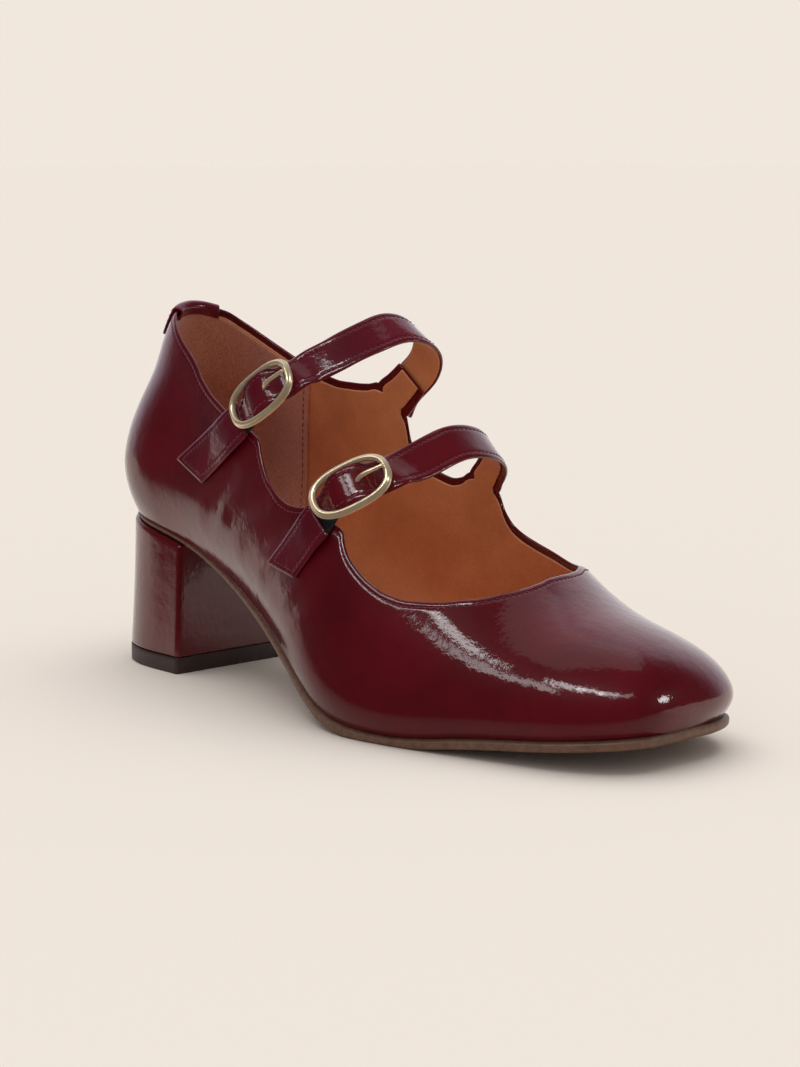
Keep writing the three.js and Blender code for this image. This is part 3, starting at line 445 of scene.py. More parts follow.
def run(point, normal, wide, skew, pitch):
    """Even rows along a run of leather from its turning points."""
    length = lengths_along(point)
    place = [natural(length, point[:, k]) for k in range(3)]
    lean = [natural(length, normal[:, k]) for k in range(3)]
    at = np.linspace(0, length[-1], int(length[-1] / pitch) + 1)
    centre = np.stack([f(at) for f in place], 1)
    ahead = unit(np.stack([f(at + 0.05) for f in place], 1) - centre)
    out = np.stack([f(at) for f in lean], 1)
    out = unit(out - ahead * np.sum(out * ahead, 1, keepdims=True))
    return {"at": at, "centre": centre, "out": out, "ahead": ahead, "across": np.cross(ahead, out),
            "wide": steady(length, wide)(at), "skew": steady(length, skew)(at), "knots": length}


def laid(rows, width):
    x = rows["at"] * LENGTH
    normal = last_normal(x, rows["over"])
    wide = rows.get("wide", np.ones(len(x))) * width
    skew = rows.get("skew", np.zeros(len(x)))
    return on_last(x, rows["over"]) + normal * rows["lift"][:, None], normal, wide, skew


class BuckleFrame:
    """A buckle's own axes on the last, the long one up the strap."""

    def __init__(self, place):
        x = place["at"] * LENGTH
        self.origin = on_last(x, place["over"])
        self.out = last_normal(x, place["over"])
        along = on_last(place["to_at"] * LENGTH, place["to_over"]) - self.origin
        self.along = unit(along - self.out * np.dot(along, self.out))
        self.across = np.cross(self.along, self.out)

    def at(self, along, out, across=0.0):
        a, o, w = (np.asarray(v, float)[..., None] for v in (along, out, across))
        return self.origin + self.along * a + self.out * o + self.across * w

    def rows(self, rows, width, shift=0.0):
        count = len(rows["along"])
        wide = rows.get("wide", np.ones(count)) * width
        aside = rows.get("aside", np.zeros(count))
        normals = np.repeat(self.out[None], count, 0)
        return self.at(rows["along"], rows["out"] + shift, aside), normals, wide, np.zeros(count)


def joined(*runs):
    return [np.concatenate(part) for part in zip(*runs)]


# Shares of the half width across a strap, close together by its edges and stitch lines.
ACROSS = np.array([-1, -0.95, -0.89, -0.83, -0.795, -0.762, -0.73, -0.68, -0.62, -0.5, -0.34, -0.17, 0])
ACROSS = np.concatenate([ACROSS, -ACROSS[-2::-1]])


def column_at(distance):
    """The column of a strap this far in from its edge."""
    return int(np.argmin(abs(ACROSS + 1 - distance / (STRAP / 2))))


def strip_points(rows, across=ACROSS):
    aside = (rows["wide"][:, None] / 2 * across)[..., None]
    slant = rows["across"] + rows["ahead"] * rows["skew"][:, None]
    return rows["centre"][:, None] + slant[:, None] * aside


# Relief of the leather.
# Creases: ends by share of LENGTH and how far over; width and depth in mm.
CREASES = [
    {"from": (0.33, -0.975), "to": (0.40, -0.93), "wide": 3.2, "deep": 0.16},
    {"from": (0.37, -0.985), "to": (0.45, -0.94), "wide": 3.6, "deep": 0.2},
    {"from": (0.43, -0.985), "to": (0.49, -0.955), "wide": 3.2, "deep": 0.16},
    {"from": (0.27, -0.99), "to": (0.32, -0.94), "wide": 3.4, "deep": 0.14},
    {"from": (0.50, -0.975), "to": (0.535, -0.93), "wide": 3.2, "deep": 0.12},
    {"from": (0.715, -0.12), "to": (0.72, 0.1), "wide": 1.3, "deep": 0.22},
    {"from": (0.735, -0.1), "to": (0.742, 0.14), "wide": 1.5, "deep": 0.25},
    {"from": (0.755, -0.02), "to": (0.76, 0.16), "wide": 1.4, "deep": 0.18},
]


def crease_relief(points):
    relief = np.zeros(len(points))
    for crease in CREASES:
        start, end = (on_last(at * LENGTH, over) for at, over in (crease["from"], crease["to"]))
        way = end - start
        share = np.clip((points - start) @ way / (way @ way), 0, 1)
        miss = np.linalg.norm(points - start - share[:, None] * way, axis=1) / crease["wide"]
        relief -= crease["deep"] * np.exp(-miss**2)
        relief += 0.35 * crease["deep"] * np.exp(-((miss - 1.9) / 0.7)**2)
    return relief


def ripple(points, wave, seed):
    """Smooth noise from -1 to 1."""
    return np.array([noise.noise(Vector(p / wave) + Vector((seed, 0, 0))) for p in points])


def patent_relief(points):
    return crease_relief(points) + 0.05 * ripple(points, 16.0, 3.1) + 0.02 * ripple(points, 5.5, 9.7)


def hem_relief(edge):
    """Groove of the stitch line, by distance from the edge."""
    return -0.16 * np.exp(-((edge - HEM) / 0.4)**2) - 0.12 * np.exp(-(edge / 0.5)**2)


# Stitches.
def stitches(name, lines, look, pitch=1.9, length=1.45, radius=0.21, sink=0.05):
    """Threads lying along lines of points with normals."""
    points, faces = [], []
    sides, rings = 6, 5
    for line, normals in lines:
        run_length = lengths_along(line)
        count = int(run_length[-1] / pitch)
        for i in range(count):
            middle = (i + 0.5) * run_length[-1] / count
            where = middle + np.array([-0.5, 0.5]) * length
            start, end = (np.array([np.interp(w, run_length, line[:, k]) for k in range(3)]) for w in where)
            up = unit(np.array([np.interp(middle, run_length, normals[:, k]) for k in range(3)]))
            way = unit(end - start)
            side = np.cross(way, up)
            base = len(points)
            for r in range(rings):
                share = r / (rings - 1)
                thick = radius * math.sin(math.pi * (0.12 + 0.76 * share))**0.5
                height = radius * 0.8 * math.sin(math.pi * share) - radius * 0.35 + sink
                centre = start + (end - start) * share + up * height
                for s in range(sides):
                    turn = 2 * math.pi * s / sides
                    points.append(centre + thick * (math.cos(turn) * side + math.sin(turn) * up))
            for r in range(rings - 1):
                for s in range(sides):
                    a, b = base + r * sides + s, base + r * sides + (s + 1) % sides
                    faces.append([a, b, b + sides, a + sides])
            faces.append([base + s for s in range(sides)][::-1])
            faces.append([base + (rings - 1) * sides + s for s in range(sides)])
    return mesh(name, np.array(points), faces, look)


# Materials.
def nodes_of(name):
    """A new material, its node tree, its shader and the object's coordinates."""
    look = bpy.data.materials.new(name)
    look.use_nodes = True
    where = look.node_tree.nodes.new("ShaderNodeTexCoord").outputs["Object"]
    return look, look.node_tree, look.node_tree.nodes["Principled BSDF"], where


def feed(tree, node, inputs):
    """Set a node's inputs to values, or link them from sockets."""
    for name, value in inputs.items():
        if isinstance(value, bpy.types.NodeSocket):
            tree.links.new(value, node.inputs[name])
        else:
            node.inputs[name].default_value = value


def noise_node(tree, where, scale, detail=3.0, rough=0.5):
    node = tree.nodes.new("ShaderNodeTexNoise")
    feed(tree, node, {"Vector": where, "Scale": scale, "Detail": detail, "Roughness": rough})
    return node.outputs["Fac"]


def ramp_node(tree, factor, stops):
    node = tree.nodes.new("ShaderNodeValToRGB")
    feed(tree, node, {"Fac": factor})
    elements = node.color_ramp.elements
    elements[0].position, elements[0].color = stops[0][0], (*stops[0][1], 1)
    elements[1].position, elements[1].color = stops[-1][0], (*stops[-1][1], 1)
    for place, colour in stops[1:-1]:
        elements.new(place).color = (*colour, 1)
    return node.outputs["Color"]


def bump_node(tree, height, strength, distance, before=None):
    node = tree.nodes.new("ShaderNodeBump")
    feed(tree, node, {"Height": height, "Strength": strength, "Distance": distance})
    if before is not None:
        feed(tree, node, {"Normal": before})
    return node.outputs["Normal"]


def mix_node(tree, factor, first, second, blend="MIX"):
    node = tree.nodes.new("ShaderNodeMix")
    node.data_type = "RGBA"
    node.blend_type = blend
    feed(tree, node, {0: factor, 6: first, 7: second})
    return node.outputs[2]


def along_node(tree, where, way):
    """How far a place lies along a way."""
    node = tree.nodes.new("ShaderNodeVectorMath")
    node.operation = "DOT_PRODUCT"
    feed(tree, node, {0: where, 1: way})
    return node.outputs["Value"]


def patent_look(name="patent_leather", dark=(0.078, 0.0012, 0.0045), light=(0.115, 0.0018, 0.007), grain=1.0):
    look, tree, shader, where = nodes_of(name)
    tone = ramp_node(tree, noise_node(tree, where, 45), [(0.3, dark), (0.7, light)])
    wrinkle = bump_node(tree, noise_node(tree, where, 210, 3, 0.55), 0.1 * grain, 0.0012)
    fine = bump_node(tree, noise_node(tree, where, 620, 4, 0.6), 0.09 * grain, 0.0005, wrinkle)
    feed(tree, shader, {
        "Base Color": tone, "Normal": fine, "Coat Normal": fine, "Roughness": 0.4, "Specular IOR Level": 0.1,
        "Coat Weight": 1.0, "Coat Roughness": 0.05, "Coat IOR": 1.5,
    })
    return look


def lining_look(name, dark, light, roughness, nap=0.0):
    look, tree, shader, where = nodes_of(name)
    tone = ramp_node(tree, noise_node(tree, where, 35, 5, 0.6), [(0.25, dark), (0.75, light)])
    grain = noise_node(tree, where, 1500, 3, 0.6)
    spots = ramp_node(tree, grain, [(0.35, (0.55, 0.5, 0.45)), (0.65, (1, 1, 1))])
    pores = bump_node(tree, grain, 0.25 + nap, 0.0003)
    folds = bump_node(tree, noise_node(tree, where, 90), 0.2, 0.002, pores)
    mixed = mix_node(tree, 0.25 + nap, tone, spots, "MULTIPLY")
    sheen = 0.15 + nap
    feed(tree, shader, {"Base Color": mixed, "Normal": folds, "Roughness": roughness, "Sheen Weight": sheen})
    return look


def plain_look(name, dark, light, roughness, metal=0.0, scale=300.0, strength=0.1):
    look, tree, shader, where = nodes_of(name)
    broad = noise_node(tree, where, scale, 4, 0.6)
    tone = ramp_node(tree, broad, [(0.3, dark), (0.7, light)])
    bump = bump_node(tree, broad, strength, 0.0003)
    feed(tree, shader, {"Base Color": tone, "Normal": bump, "Roughness": roughness, "Metallic": metal})
    return look


PATENT = patent_look()
STRAP_PATENT = patent_look("patent_leather_strap", (0.085, 0.002, 0.009), (0.13, 0.004, 0.014), 1.6)
TAN = lining_look("lining_leather", (0.50, 0.16, 0.055), (0.78, 0.29, 0.11), 0.42)
SUEDE = lining_look("counter_suede", (0.44, 0.15, 0.08), (0.68, 0.26, 0.145), 0.85, 0.45)
FOOTBED = lining_look("footbed_leather", (0.66, 0.20, 0.065), (0.86, 0.31, 0.11), 0.5)
THREAD = plain_look("thread", (0.13, 0.012, 0.03), (0.2, 0.025, 0.05), 0.5)
TAN_THREAD = plain_look("thread_tan", (0.16, 0.05, 0.02), (0.26, 0.09, 0.04), 0.6)
GOLD = plain_look("gold_plate", (0.84, 0.67, 0.42), (0.92, 0.77, 0.54), 0.28, 0.7, 120, 0.02)
WEBBING = plain_look("elastic_web", (0.008, 0.006, 0.007), (0.022, 0.018, 0.02), 0.75, 0, 900, 0.5)
EDGE = plain_look("sole_edge", (0.13, 0.06, 0.035), (0.21, 0.105, 0.065), 0.45, 0, 500, 0.2)
RUBBER = plain_look("top_piece_rubber", (0.03, 0.012, 0.01), (0.05, 0.022, 0.018), 0.5, 0, 900, 0.15)


# The upper's sheet: a ring of columns all round the last, with the inner rear wing and the front strap.
RING_PITCH = 1.25
TOP_ROWS = np.array([0, 0.35, 0.7, 1.05, 1.3, 1.5, 1.7, 2.0, 2.3, 2.8, 3.6, 4.6, 5.6])
LOWER_ROWS = 50
STRAP_PITCH = 0.8


def even_places(side, start, end, shares):
    """Places round the last at shares of the topline's length between two of them."""
    around = np.linspace(start, end, 400)
    line = climb(around, np.full(400, side), full_rise(around, side)[:, None])[:, 0]
    length = lengths_along(line)
    if shares is None:
        count = max(int(round(length[-1] / RING_PITCH)), 2)
        shares = np.arange(count) / count
    return np.interp(np.asarray(shares) * length[-1], length, around)


def upper_sheet():
    """Points, quads, distance from the edge, and the stitch lines' point numbers."""
    root_shares = (ACROSS[:-1] + 1) / 2
    stretches = [
        (-1, 0.0, 1.0, None),
        (1, 1.0, FRONT_ROOT[1], None),
        (1, FRONT_ROOT[1], FRONT_ROOT[0], root_shares),
        (1, FRONT_ROOT[0], REAR_ROOT[1], None),
        (1, REAR_ROOT[1], REAR_ROOT[0], root_shares),
        (1, REAR_ROOT[0], 0.0, None),
    ]
    around, side, starts = [], [], []
    for which, start, end, shares in stretches:
        made = even_places(which, start, end, shares)
        starts.append(len(around))
        around += made.tolist()
        side += [which] * len(made)
    around, side = np.array(around), np.array(side)
    full = full_rise(around, side)
    lower = (full - TOP_ROWS[-1])[:, None] * np.linspace(0, 1, LOWER_ROWS + 1)[None, :-1]
    rises = np.concatenate([lower, full[:, None] - TOP_ROWS[::-1]], 1)
    ring = tucked(climb(around, side, rises))
    columns, rows = rises.shape
    points = [ring.reshape(-1, 3)]
    edge = [(full[:, None] - rises).reshape(-1)]
    ids = np.arange(columns * rows).reshape(columns, rows).T
    quads = [grid_quads(closed(ids))]
    stitch_row = ids[rows - 1 - int(np.argmin(abs(TOP_ROWS - HEM)))]
    lines = [
        np.concatenate([stitch_row[starts[5]:], stitch_row[:starts[2] + 1]]),
        stitch_row[starts[3]:starts[4] + 1],
    ]
    offset = columns * rows
    roots = []
    for which, leather_rows, eased in (
        (2, joined(laid(FRONT_STRAP, STRAP), FRONT_AXES.rows(BUCKLED, STRAP)), 2.5),
        (4, laid(REAR_WING, STRAP), 2.5),
    ):
        first = starts[which]
        root = ids[-1, first:first + len(ACROSS)]
        rows_made = run(*leather_rows, STRAP_PITCH)
        knots = rows_made["knots"]
        reach = np.interp(eased, np.arange(len(knots)), knots)
        line = strip_points(rows_made)
        shift = points[0][root] - line[0]
        weight = np.maximum(1 - rows_made["at"] / reach, 0)**2
        line = line + shift[None] * weight[:, None, None]
        count = line.shape[0] - 1
        points.append(line[1:].reshape(-1, 3))
        distance = (1 - abs(ACROSS))[None] * rows_made["wide"][1:, None] / 2
        edge.append(distance.reshape(-1))
        grid = np.concatenate([root[None], offset + np.arange(count * len(ACROSS)).reshape(count, -1)])
        quads.append(grid_quads(grid))
        offset += count * len(ACROSS)
        roots.append(grid)
        hem = column_at(HEM)
        lines += [grid[2:, hem], grid[2:, len(ACROSS) - 1 - hem]]
        inside = 1 - abs(ACROSS)
        for c, share in enumerate(inside):
            column = edge[0].reshape(columns, rows)[first + c]
            column[:] = np.maximum(column, share * STRAP / 2)
    return np.concatenate(points), np.concatenate(quads), np.concatenate(edge), lines, ids, roots


FRONT_AXES = BuckleFrame(FRONT_BUCKLE)
REAR_AXES = BuckleFrame(REAR_BUCKLE)
UPPER, UPPER_QUADS, UPPER_EDGE, UPPER_LINES, UPPER_IDS, UPPER_ROOTS = upper_sheet()
UPPER_NORMALS = sheet_normals(UPPER, UPPER_QUADS)


def make_upper():
    relief = patent_relief(UPPER) + hem_relief(UPPER_EDGE)
    skin = UPPER + UPPER_NORMALS * relief[:, None]
    leather("upper_skin", skin, UPPER_QUADS, SKIN, PATENT, ["upper"], rim=5)
    lines = [(skin[line], UPPER_NORMALS[line]) for line in UPPER_LINES]
    stitches("upper_stitches", lines, THREAD)


def make_lining():
    """The lining follows the skin's inner face and stops at its folded edge."""
    inside = UPPER - UPPER_NORMALS * (SKIN + LAYER_GAP)
    rows_left = int(np.sum(TOP_ROWS < FOLD - 0.01))
    ring = UPPER_IDS[:len(UPPER_IDS) - rows_left]
    quads = [grid_quads(closed(ring))]
    edge = column_at(FOLD)
    for grid in UPPER_ROOTS:
        quads.append(grid_quads(grid[:, edge:-edge]))
        root = grid[0, edge:-edge]
        below = [int(np.where(UPPER_IDS[-1] == r)[0][0]) for r in root]
        quads.append(grid_quads(UPPER_IDS[-1 - rows_left:, below]))
    quads = np.concatenate(quads)
    used = np.unique(quads)
    renumber = np.zeros(len(UPPER), int)
    renumber[used] = np.arange(len(used))
    leather("lining", inside[used], renumber[quads], LINING, TAN, rim=4)


def strap_piece(name, rows, thick, nodes, seed):
    """A strip of leather; gives its points, their normals and the number of rows for its stitches."""
    line = strip_points(rows)
    points = line.reshape(-1, 3)
    quads = sheet_quads(line)
    normals = sheet_normals(points, quads)
    edge = ((1 - abs(ACROSS))[None] * rows["wide"][:, None] / 2).reshape(-1)
    edge = np.minimum(edge, np.repeat(rows["at"], len(ACROSS)))
    broad, fine = ripple(points, 6.0, seed), ripple(points, 2.6, seed + 5)
    height = STRAP_RELIEF * broad + 0.5 * STRAP_RELIEF * fine
    points = points + normals * (height + hem_relief(edge))[:, None]
    leather(name, points, quads, thick, STRAP_PATENT, nodes, rim=5)
    return points, normals, len(line)


def hem_line(points, normals, count):
    """The stitch line down one side of a strip, across its first end and up the other."""
    size = len(ACROSS)
    hem = column_at(HEM)
    first = int(round(HEM / STRAP_PITCH))
    ids = np.arange(count * size).reshape(count, size)[first:]
    path = np.concatenate([ids[::-1, hem], ids[0, hem + 1:size - 1 - hem], ids[:, size - 1 - hem]])
    return points[path], normals[path]


def make_straps():
    rear = run(*joined(laid(REAR_STRAP, STRAP), REAR_AXES.rows(BUCKLED, STRAP)), STRAP_PITCH)
    lines = [hem_line(*strap_piece("strap_rear_skin", rear, SKIN, ["strap_rear"], STRAP_SEED))]
    depth = SKIN + LAYER_GAP
    under = {**rear, "centre": rear["centre"] - rear["out"] * depth, "wide": rear["wide"] * STRAP_LINING_WIDE}
    strip = strip_points(under)
    quads = sheet_quads(strip)
    leather("strap_rear_lining", strip.reshape(-1, 3), quads, STRAP_LINING, TAN, rim=3)
    for name, rows, seed in (("tab_front", FRONT_TAB, 4.0), ("tab_rear", REAR_TAB, 7.0)):
        tab = run(*laid(rows, TAB), STRAP_PITCH)
        lines.append(hem_line(*strap_piece(name + "_skin", tab, TAB_THICK, [name], seed)))
    stitches("strap_stitches", lines, THREAD)


WEB_THICK, WEB_RIB, WEB_PITCH = 0.6, 0.16, 1.15
WEB_UNDER = 1.0  # its lift under the tab


def make_elastics():
    ribs = np.linspace(-1, 1, 45)
    for name, tab, axes in (("elastic_front", FRONT_TAB, FRONT_AXES), ("elastic_rear", REAR_TAB, REAR_AXES)):
        under = {key: tab[key][-2:] for key in ("at", "over")}
        under["lift"] = np.full(2, WEB_UNDER)
        rows = run(*joined(laid(under, ELASTIC), axes.rows(HOOK, ELASTIC, 0.3)), 0.5)
        line = strip_points(rows, ribs)
        wave = WEB_RIB * np.cos(math.pi * ribs * ELASTIC / WEB_PITCH)
        line = line + rows["out"][:, None] * wave[None, :, None]
        points = line.reshape(-1, 3)
        leather(name + "_web", points, sheet_quads(line), WEB_THICK, WEBBING, [name], rim=3)


def superellipse(angle, a, b):
    """A rounded rectangle's point at an angle."""
    ahead, sideways = np.cos(angle), np.sin(angle)
    power = 2 / RING_SQUARE
    return np.sign(ahead) * abs(ahead)**power * a, np.sign(sideways) * abs(sideways)**power * b


# The rim's section, across and up as shares of RING_BAR and RING_DEEP.
RIM = table(
    "wide deep",
    (-0.5, -0.35), (-0.38, -0.5), (0.38, -0.5), (0.5, -0.38), (0.5, -0.12), (0.44, 0.02), (0.3, 0.08),
    (0.22, 0.2), (0.14, 0.4), (0.0, 0.5), (-0.2, 0.5), (-0.38, 0.42), (-0.5, 0.2),
)


def make_buckle(name, axes):
    angle = np.linspace(0, 2 * math.pi, 160, endpoint=False)
    a, w = superellipse(angle, 1.0, 1.0)
    loops = []
    for wide, deep in zip(RIM["wide"], RIM["deep"]):
        along = (RING_LONG / 2 - RING_BAR / 2 + wide * RING_BAR) * a
        across = (RING_WIDE / 2 - RING_BAR / 2 + wide * RING_BAR) * w
        loops.append(axes.at(along, np.full(len(angle), RING_LIFT + deep * RING_DEEP), across))
    points = np.concatenate(loops)
    ids = np.arange(len(points)).reshape(len(loops), len(angle))
    ids = np.concatenate([ids, ids[:1]])
    faces = [list(q) for q in grid_quads(closed(ids))]
    mesh(name + "_rim", points, faces, GOLD, [name])
    ends = np.array([-1.0, 1.0]) * (RING_WIDE / 2 - RING_BAR * 0.6)
    bar = axes.at(np.zeros(2), np.full(2, PIN_LIFT), ends)
    tube(name + "_bar", bar, np.full(2, PIN), axes.out, GOLD)


def tube(name, line, radius, up, look, nodes=(), sides=14):
    """A round bar along a line."""
    ahead = unit(np.gradient(line, axis=0))
    side = unit(np.cross(ahead, up))
    top = np.cross(side, ahead)
    turn = np.linspace(0, 2 * math.pi, sides, endpoint=False)
    loops = [c + r * (np.cos(turn)[:, None] * s + np.sin(turn)[:, None] * t)
             for c, r, s, t in zip(line, radius, side, top)]
    return loft(name, loops, look, nodes)


def make_prong(name, axes):
    rows = axes.at(TONGUE["along"], TONGUE["out"])
    length = lengths_along(rows)
    at = np.linspace(0, length[-1], 48)
    line = np.stack([natural(length, rows[:, k])(at) for k in range(3)], 1)
    left = length[-1] - at
    radius = PRONG * (0.82 + 0.18 * np.clip(left / 6, 0, 1)) * np.sqrt(np.clip(left / 0.7 + 0.08, 0, 1))
    tube(name + "_wire", line, radius, axes.across, GOLD, [name])


def heel_outline(inset):
    """The heel's D, its two front corners rounded; always the same number of points."""
    end = BREAST - HEEL_CORNER
    x = inset + (end - inset) * (1 - np.cos(np.pi * np.linspace(0, 1, 300))) / 2
    outer = np.stack([x, -inset_width(x, -1, inset)], 1)[::-1]
    inner = np.stack([x, inset_width(x, 1, inset)], 1)[1:]
    line = np.concatenate([outer, inner])
    length = lengths_along(line)
    at = np.linspace(0, length[-1], 121)
    arc = np.stack([np.interp(at, length, line[:, k]) for k in range(2)], 1)
    turn = np.linspace(0, np.pi / 2, 9)[1:]
    fillet = np.stack([np.sin(turn), np.cos(turn) - 1], 1) * HEEL_CORNER
    inner_corner = arc[-1] + fillet
    outer_corner = (arc[0] + fillet * (1, -1))[::-1]
    front = np.linspace(inner_corner[-1], outer_corner[0], 33)[1:-1]
    return np.concatenate([arc, inner_corner, front, outer_corner])


def seat(x):
    return feather(x) - GAP / 2 - SEAT_SOLE - GAP


# The heel's side from its foot to the seat: share of its height, inset where its edges are eased.
HEEL_SIDE = table(
    "share inset",
    (0, 1.2), (0, 0.45), (0.008, 0.12), (0.02, 0), *((share, 0) for share in np.linspace(0.06, 0.96, 24)),
    (0.985, 0.1), (1, 0.5), (1, 1.4),
)
# The top piece's side, up from the floor, with its two edges eased.
LIFT_SIDE = table(
    "height inset",
    (0, 0.5), (0, 0.25), (0.25, 0), (1.5, 0), (3.0, 0), (4.5, 0), (TOP_PIECE - 0.25, 0), (TOP_PIECE, 0.25),
    (TOP_PIECE, 0.8),
)
HEEL_WAIST = 0.35  # how far the heel's walls are hollowed
HEEL_RIPPLE = 0.05


def make_heel():
    foot = TOP_PIECE + GAP
    loops = []
    for share, cut in zip(HEEL_SIDE["share"], HEEL_SIDE["inset"]):
        plan = heel_outline(HEEL_INSET + HEEL_TAPER * share + cut)
        top = seat(plan[:, 0])
        waist = -HEEL_WAIST * math.sin(math.pi * share)
        centre = plan.mean(0)
        plan = plan + unit(plan - centre) * waist
        loops.append(np.column_stack([plan, foot + (top - foot) * share]))
    wavy = np.concatenate(loops)
    size = len(loops[0])
    height = HEEL_RIPPLE * ripple(wavy, 9.0, 21.0)
    centre = np.array([BREAST / 2, 0, 0])
    out = unit((wavy - centre) * (1, 1, 0))
    wavy = wavy + out * height[:, None]
    loft("heel_cover", list(wavy.reshape(len(loops), size, 3)), PATENT, ["heel"])
    lift = []
    for height, cut in zip(LIFT_SIDE["height"], LIFT_SIDE["inset"]):
        plan = heel_outline(HEEL_INSET + cut)
        lift.append(np.column_stack([plan, np.full(len(plan), height)]))
    loft("heel_lift", lift, RUBBER, ["top_piece"])


# The outsole's edge, up its side from the bottom.
SOLE_SIDE = table(
    "share inset",
    (0.0, 1.6), (0.0, 0.9), (0.06, 0.4), (0.16, 0.1), (0.3, 0.0), (0.5, -0.05), (0.66, 0.0), (0.76, 0.1),
    (0.86, 0.45), (0.93, 0.9), (1.0, 1.3),
)


SOLE_END = 1.7  # left off at the toe and the back for the edge's round
SOLE_RAMP = 60.0  # length in front of the heel over which it reaches its full thickness


def plan_stations(start, end, count):
    return start + (end - start) * (1 - np.cos(np.pi * np.linspace(0, 1, count + 1))) / 2


def make_outsole():
    """A plate with a rounded edge, thinning to a skin over the heel."""
    back = float(sole_inset(0.0)) * BALL + SOLE_END
    stations = plan_stations(back, LENGTH - float(sole_inset(1.0)) * BALL - SOLE_END, 150)
    share = np.clip((stations - BREAST) / SOLE_RAMP, 0, 1)
    thick = SEAT_SOLE + (OUTSOLE - SEAT_SOLE) * share * share * (3 - 2 * share)
    top = feather(stations) - GAP / 2
    foot = np.maximum(top - thick, 0)
    inset = sole_inset(stations / LENGTH) * BALL
    loops = []
    for i, x in enumerate(stations):
        z = foot[i] + (top[i] - foot[i]) * SOLE_SIDE["share"]
        cut = inset[i] + SOLE_SIDE["inset"]
        outer = np.array([-inset_width(np.array(x), -1, c) for c in cut])
        inner = np.array([inset_width(np.array(x), 1, c) for c in cut])[::-1]
        fill = np.linspace(inner[-1], outer[0], 14)[1:-1]
        lid = np.linspace(outer[-1], inner[0], 14)[1:-1]
        y = np.concatenate([outer, lid, inner, fill])
        height = np.concatenate([z, np.full(len(lid), top[i]), z[::-1], np.full(len(fill), foot[i])])
        loops.append(np.stack([np.full(len(y), x), y, height], 1))
    loft("sole_plate", loops, EDGE, ["outsole"])


INSOLE_SIDE, INSOLE_END = 0.5, 1.2  # left between the insole and the lining
INSOLE_DISH = 0.9  # how far its edges turn up
INSOLE_COLUMNS = 36


def make_insole():
    inset = float(tuck_inset(0.0)) * BALL + SKIN + LINING + INSOLE_END
    stations = plan_stations(inset, LENGTH - inset, 110)
    loops = []
    for x in stations:
        cut = float(tuck_inset(x / LENGTH)) * BALL + SKIN + LINING + INSOLE_SIDE
        outer, inner = -inset_width(np.array(x), -1, cut), inset_width(np.array(x), 1, cut)
        share = np.linspace(0, 1, INSOLE_COLUMNS)
        y = outer + (inner - outer) * share
        dish = INSOLE_DISH * abs(2 * share - 1)**3
        rise = INSOLE * np.minimum(1, 0.55 + 6 * np.minimum(share, 1 - share))
        base = feather(np.array(x)) + GAP / 2
        along = np.full(INSOLE_COLUMNS, x)
        top = np.stack([along, y, base + rise + dish], 1)
        bottom = np.stack([along, y, np.full(INSOLE_COLUMNS, base)], 1)[::-1]
        loops.append(np.concatenate([top, bottom]))
    loft("footbed", loops, FOOTBED, ["insole"])


# The saddle over the back of the collar.
SADDLE_AROUND, SADDLE_DOWN, SADDLE_INSIDE, SADDLE_THICK = 0.078, 9.0, 2.2, 1.0
SADDLE_CROWN = 0.8  # height of its fold, share of a round one


def make_heel_tab():
    signed = np.linspace(-SADDLE_AROUND, SADDLE_AROUND, 41)
    side = np.where(signed < 0, -1, 1)
    around = abs(signed)
    full = full_rise(around, side)
    radius = (SKIN + LINING) / 2 + 0.15 + SADDLE_THICK
    outside_down = np.linspace(SADDLE_DOWN, 0.3, 12)
    inside_down = np.linspace(0.3, SADDLE_INSIDE, 12)
    below = np.concatenate([outside_down, np.zeros(9), inside_down])
    turn = np.concatenate([np.zeros(12), np.linspace(0, math.pi, 9), np.full(12, math.pi)])
    rise = full[:, None] - np.maximum(below, 0)[None]
    seam = tucked(climb(around, side, rise))
    step = tucked(climb(around, side, rise - 0.6))
    up = unit(seam - step)
    away = np.stack([seam[..., 0] - COUNTER_START * LENGTH, seam[..., 1], np.zeros(rise.shape)], -1)
    out = unit(away)
    out = unit(out - up * np.sum(out * up, -1, keepdims=True))
    middle = seam - out * (SKIN + LINING) / 2
    across, over = radius * np.cos(turn), SADDLE_CROWN * radius * np.sin(turn)
    sheet = middle + out * across[None, :, None] + up * over[None, :, None]
    points = sheet.reshape(-1, 3)
    ids = np.arange(len(points)).reshape(sheet.shape[:2])
    quads = grid_quads(ids)
    normals = sheet_normals(points, quads)
    if np.mean(np.sum(normals * (out * np.cos(turn)[None, :, None]).reshape(-1, 3), 1)) < 0:
        quads = quads[:, ::-1]
        normals = -normals
    points = points + normals * (0.06 * ripple(points, 4.0, 31.0))[:, None]
    leather("heel_saddle", points, quads, SADDLE_THICK, STRAP_PATENT, ["heel_tab"], rim=5)
    path = np.concatenate([ids[2, 12:1:-1], ids[2:39, 2], ids[38, 2:13]])
    stitches("heel_tab_stitches", [(points[path], normals[path])], THREAD, 2.0, 1.5, 0.2)


# The suede counter lining's front edge: its place round the last on the outer and the inner side.
COUNTER_EDGE = {-1: 0.30, 1: 0.285}
SUEDE_THICK = 0.45


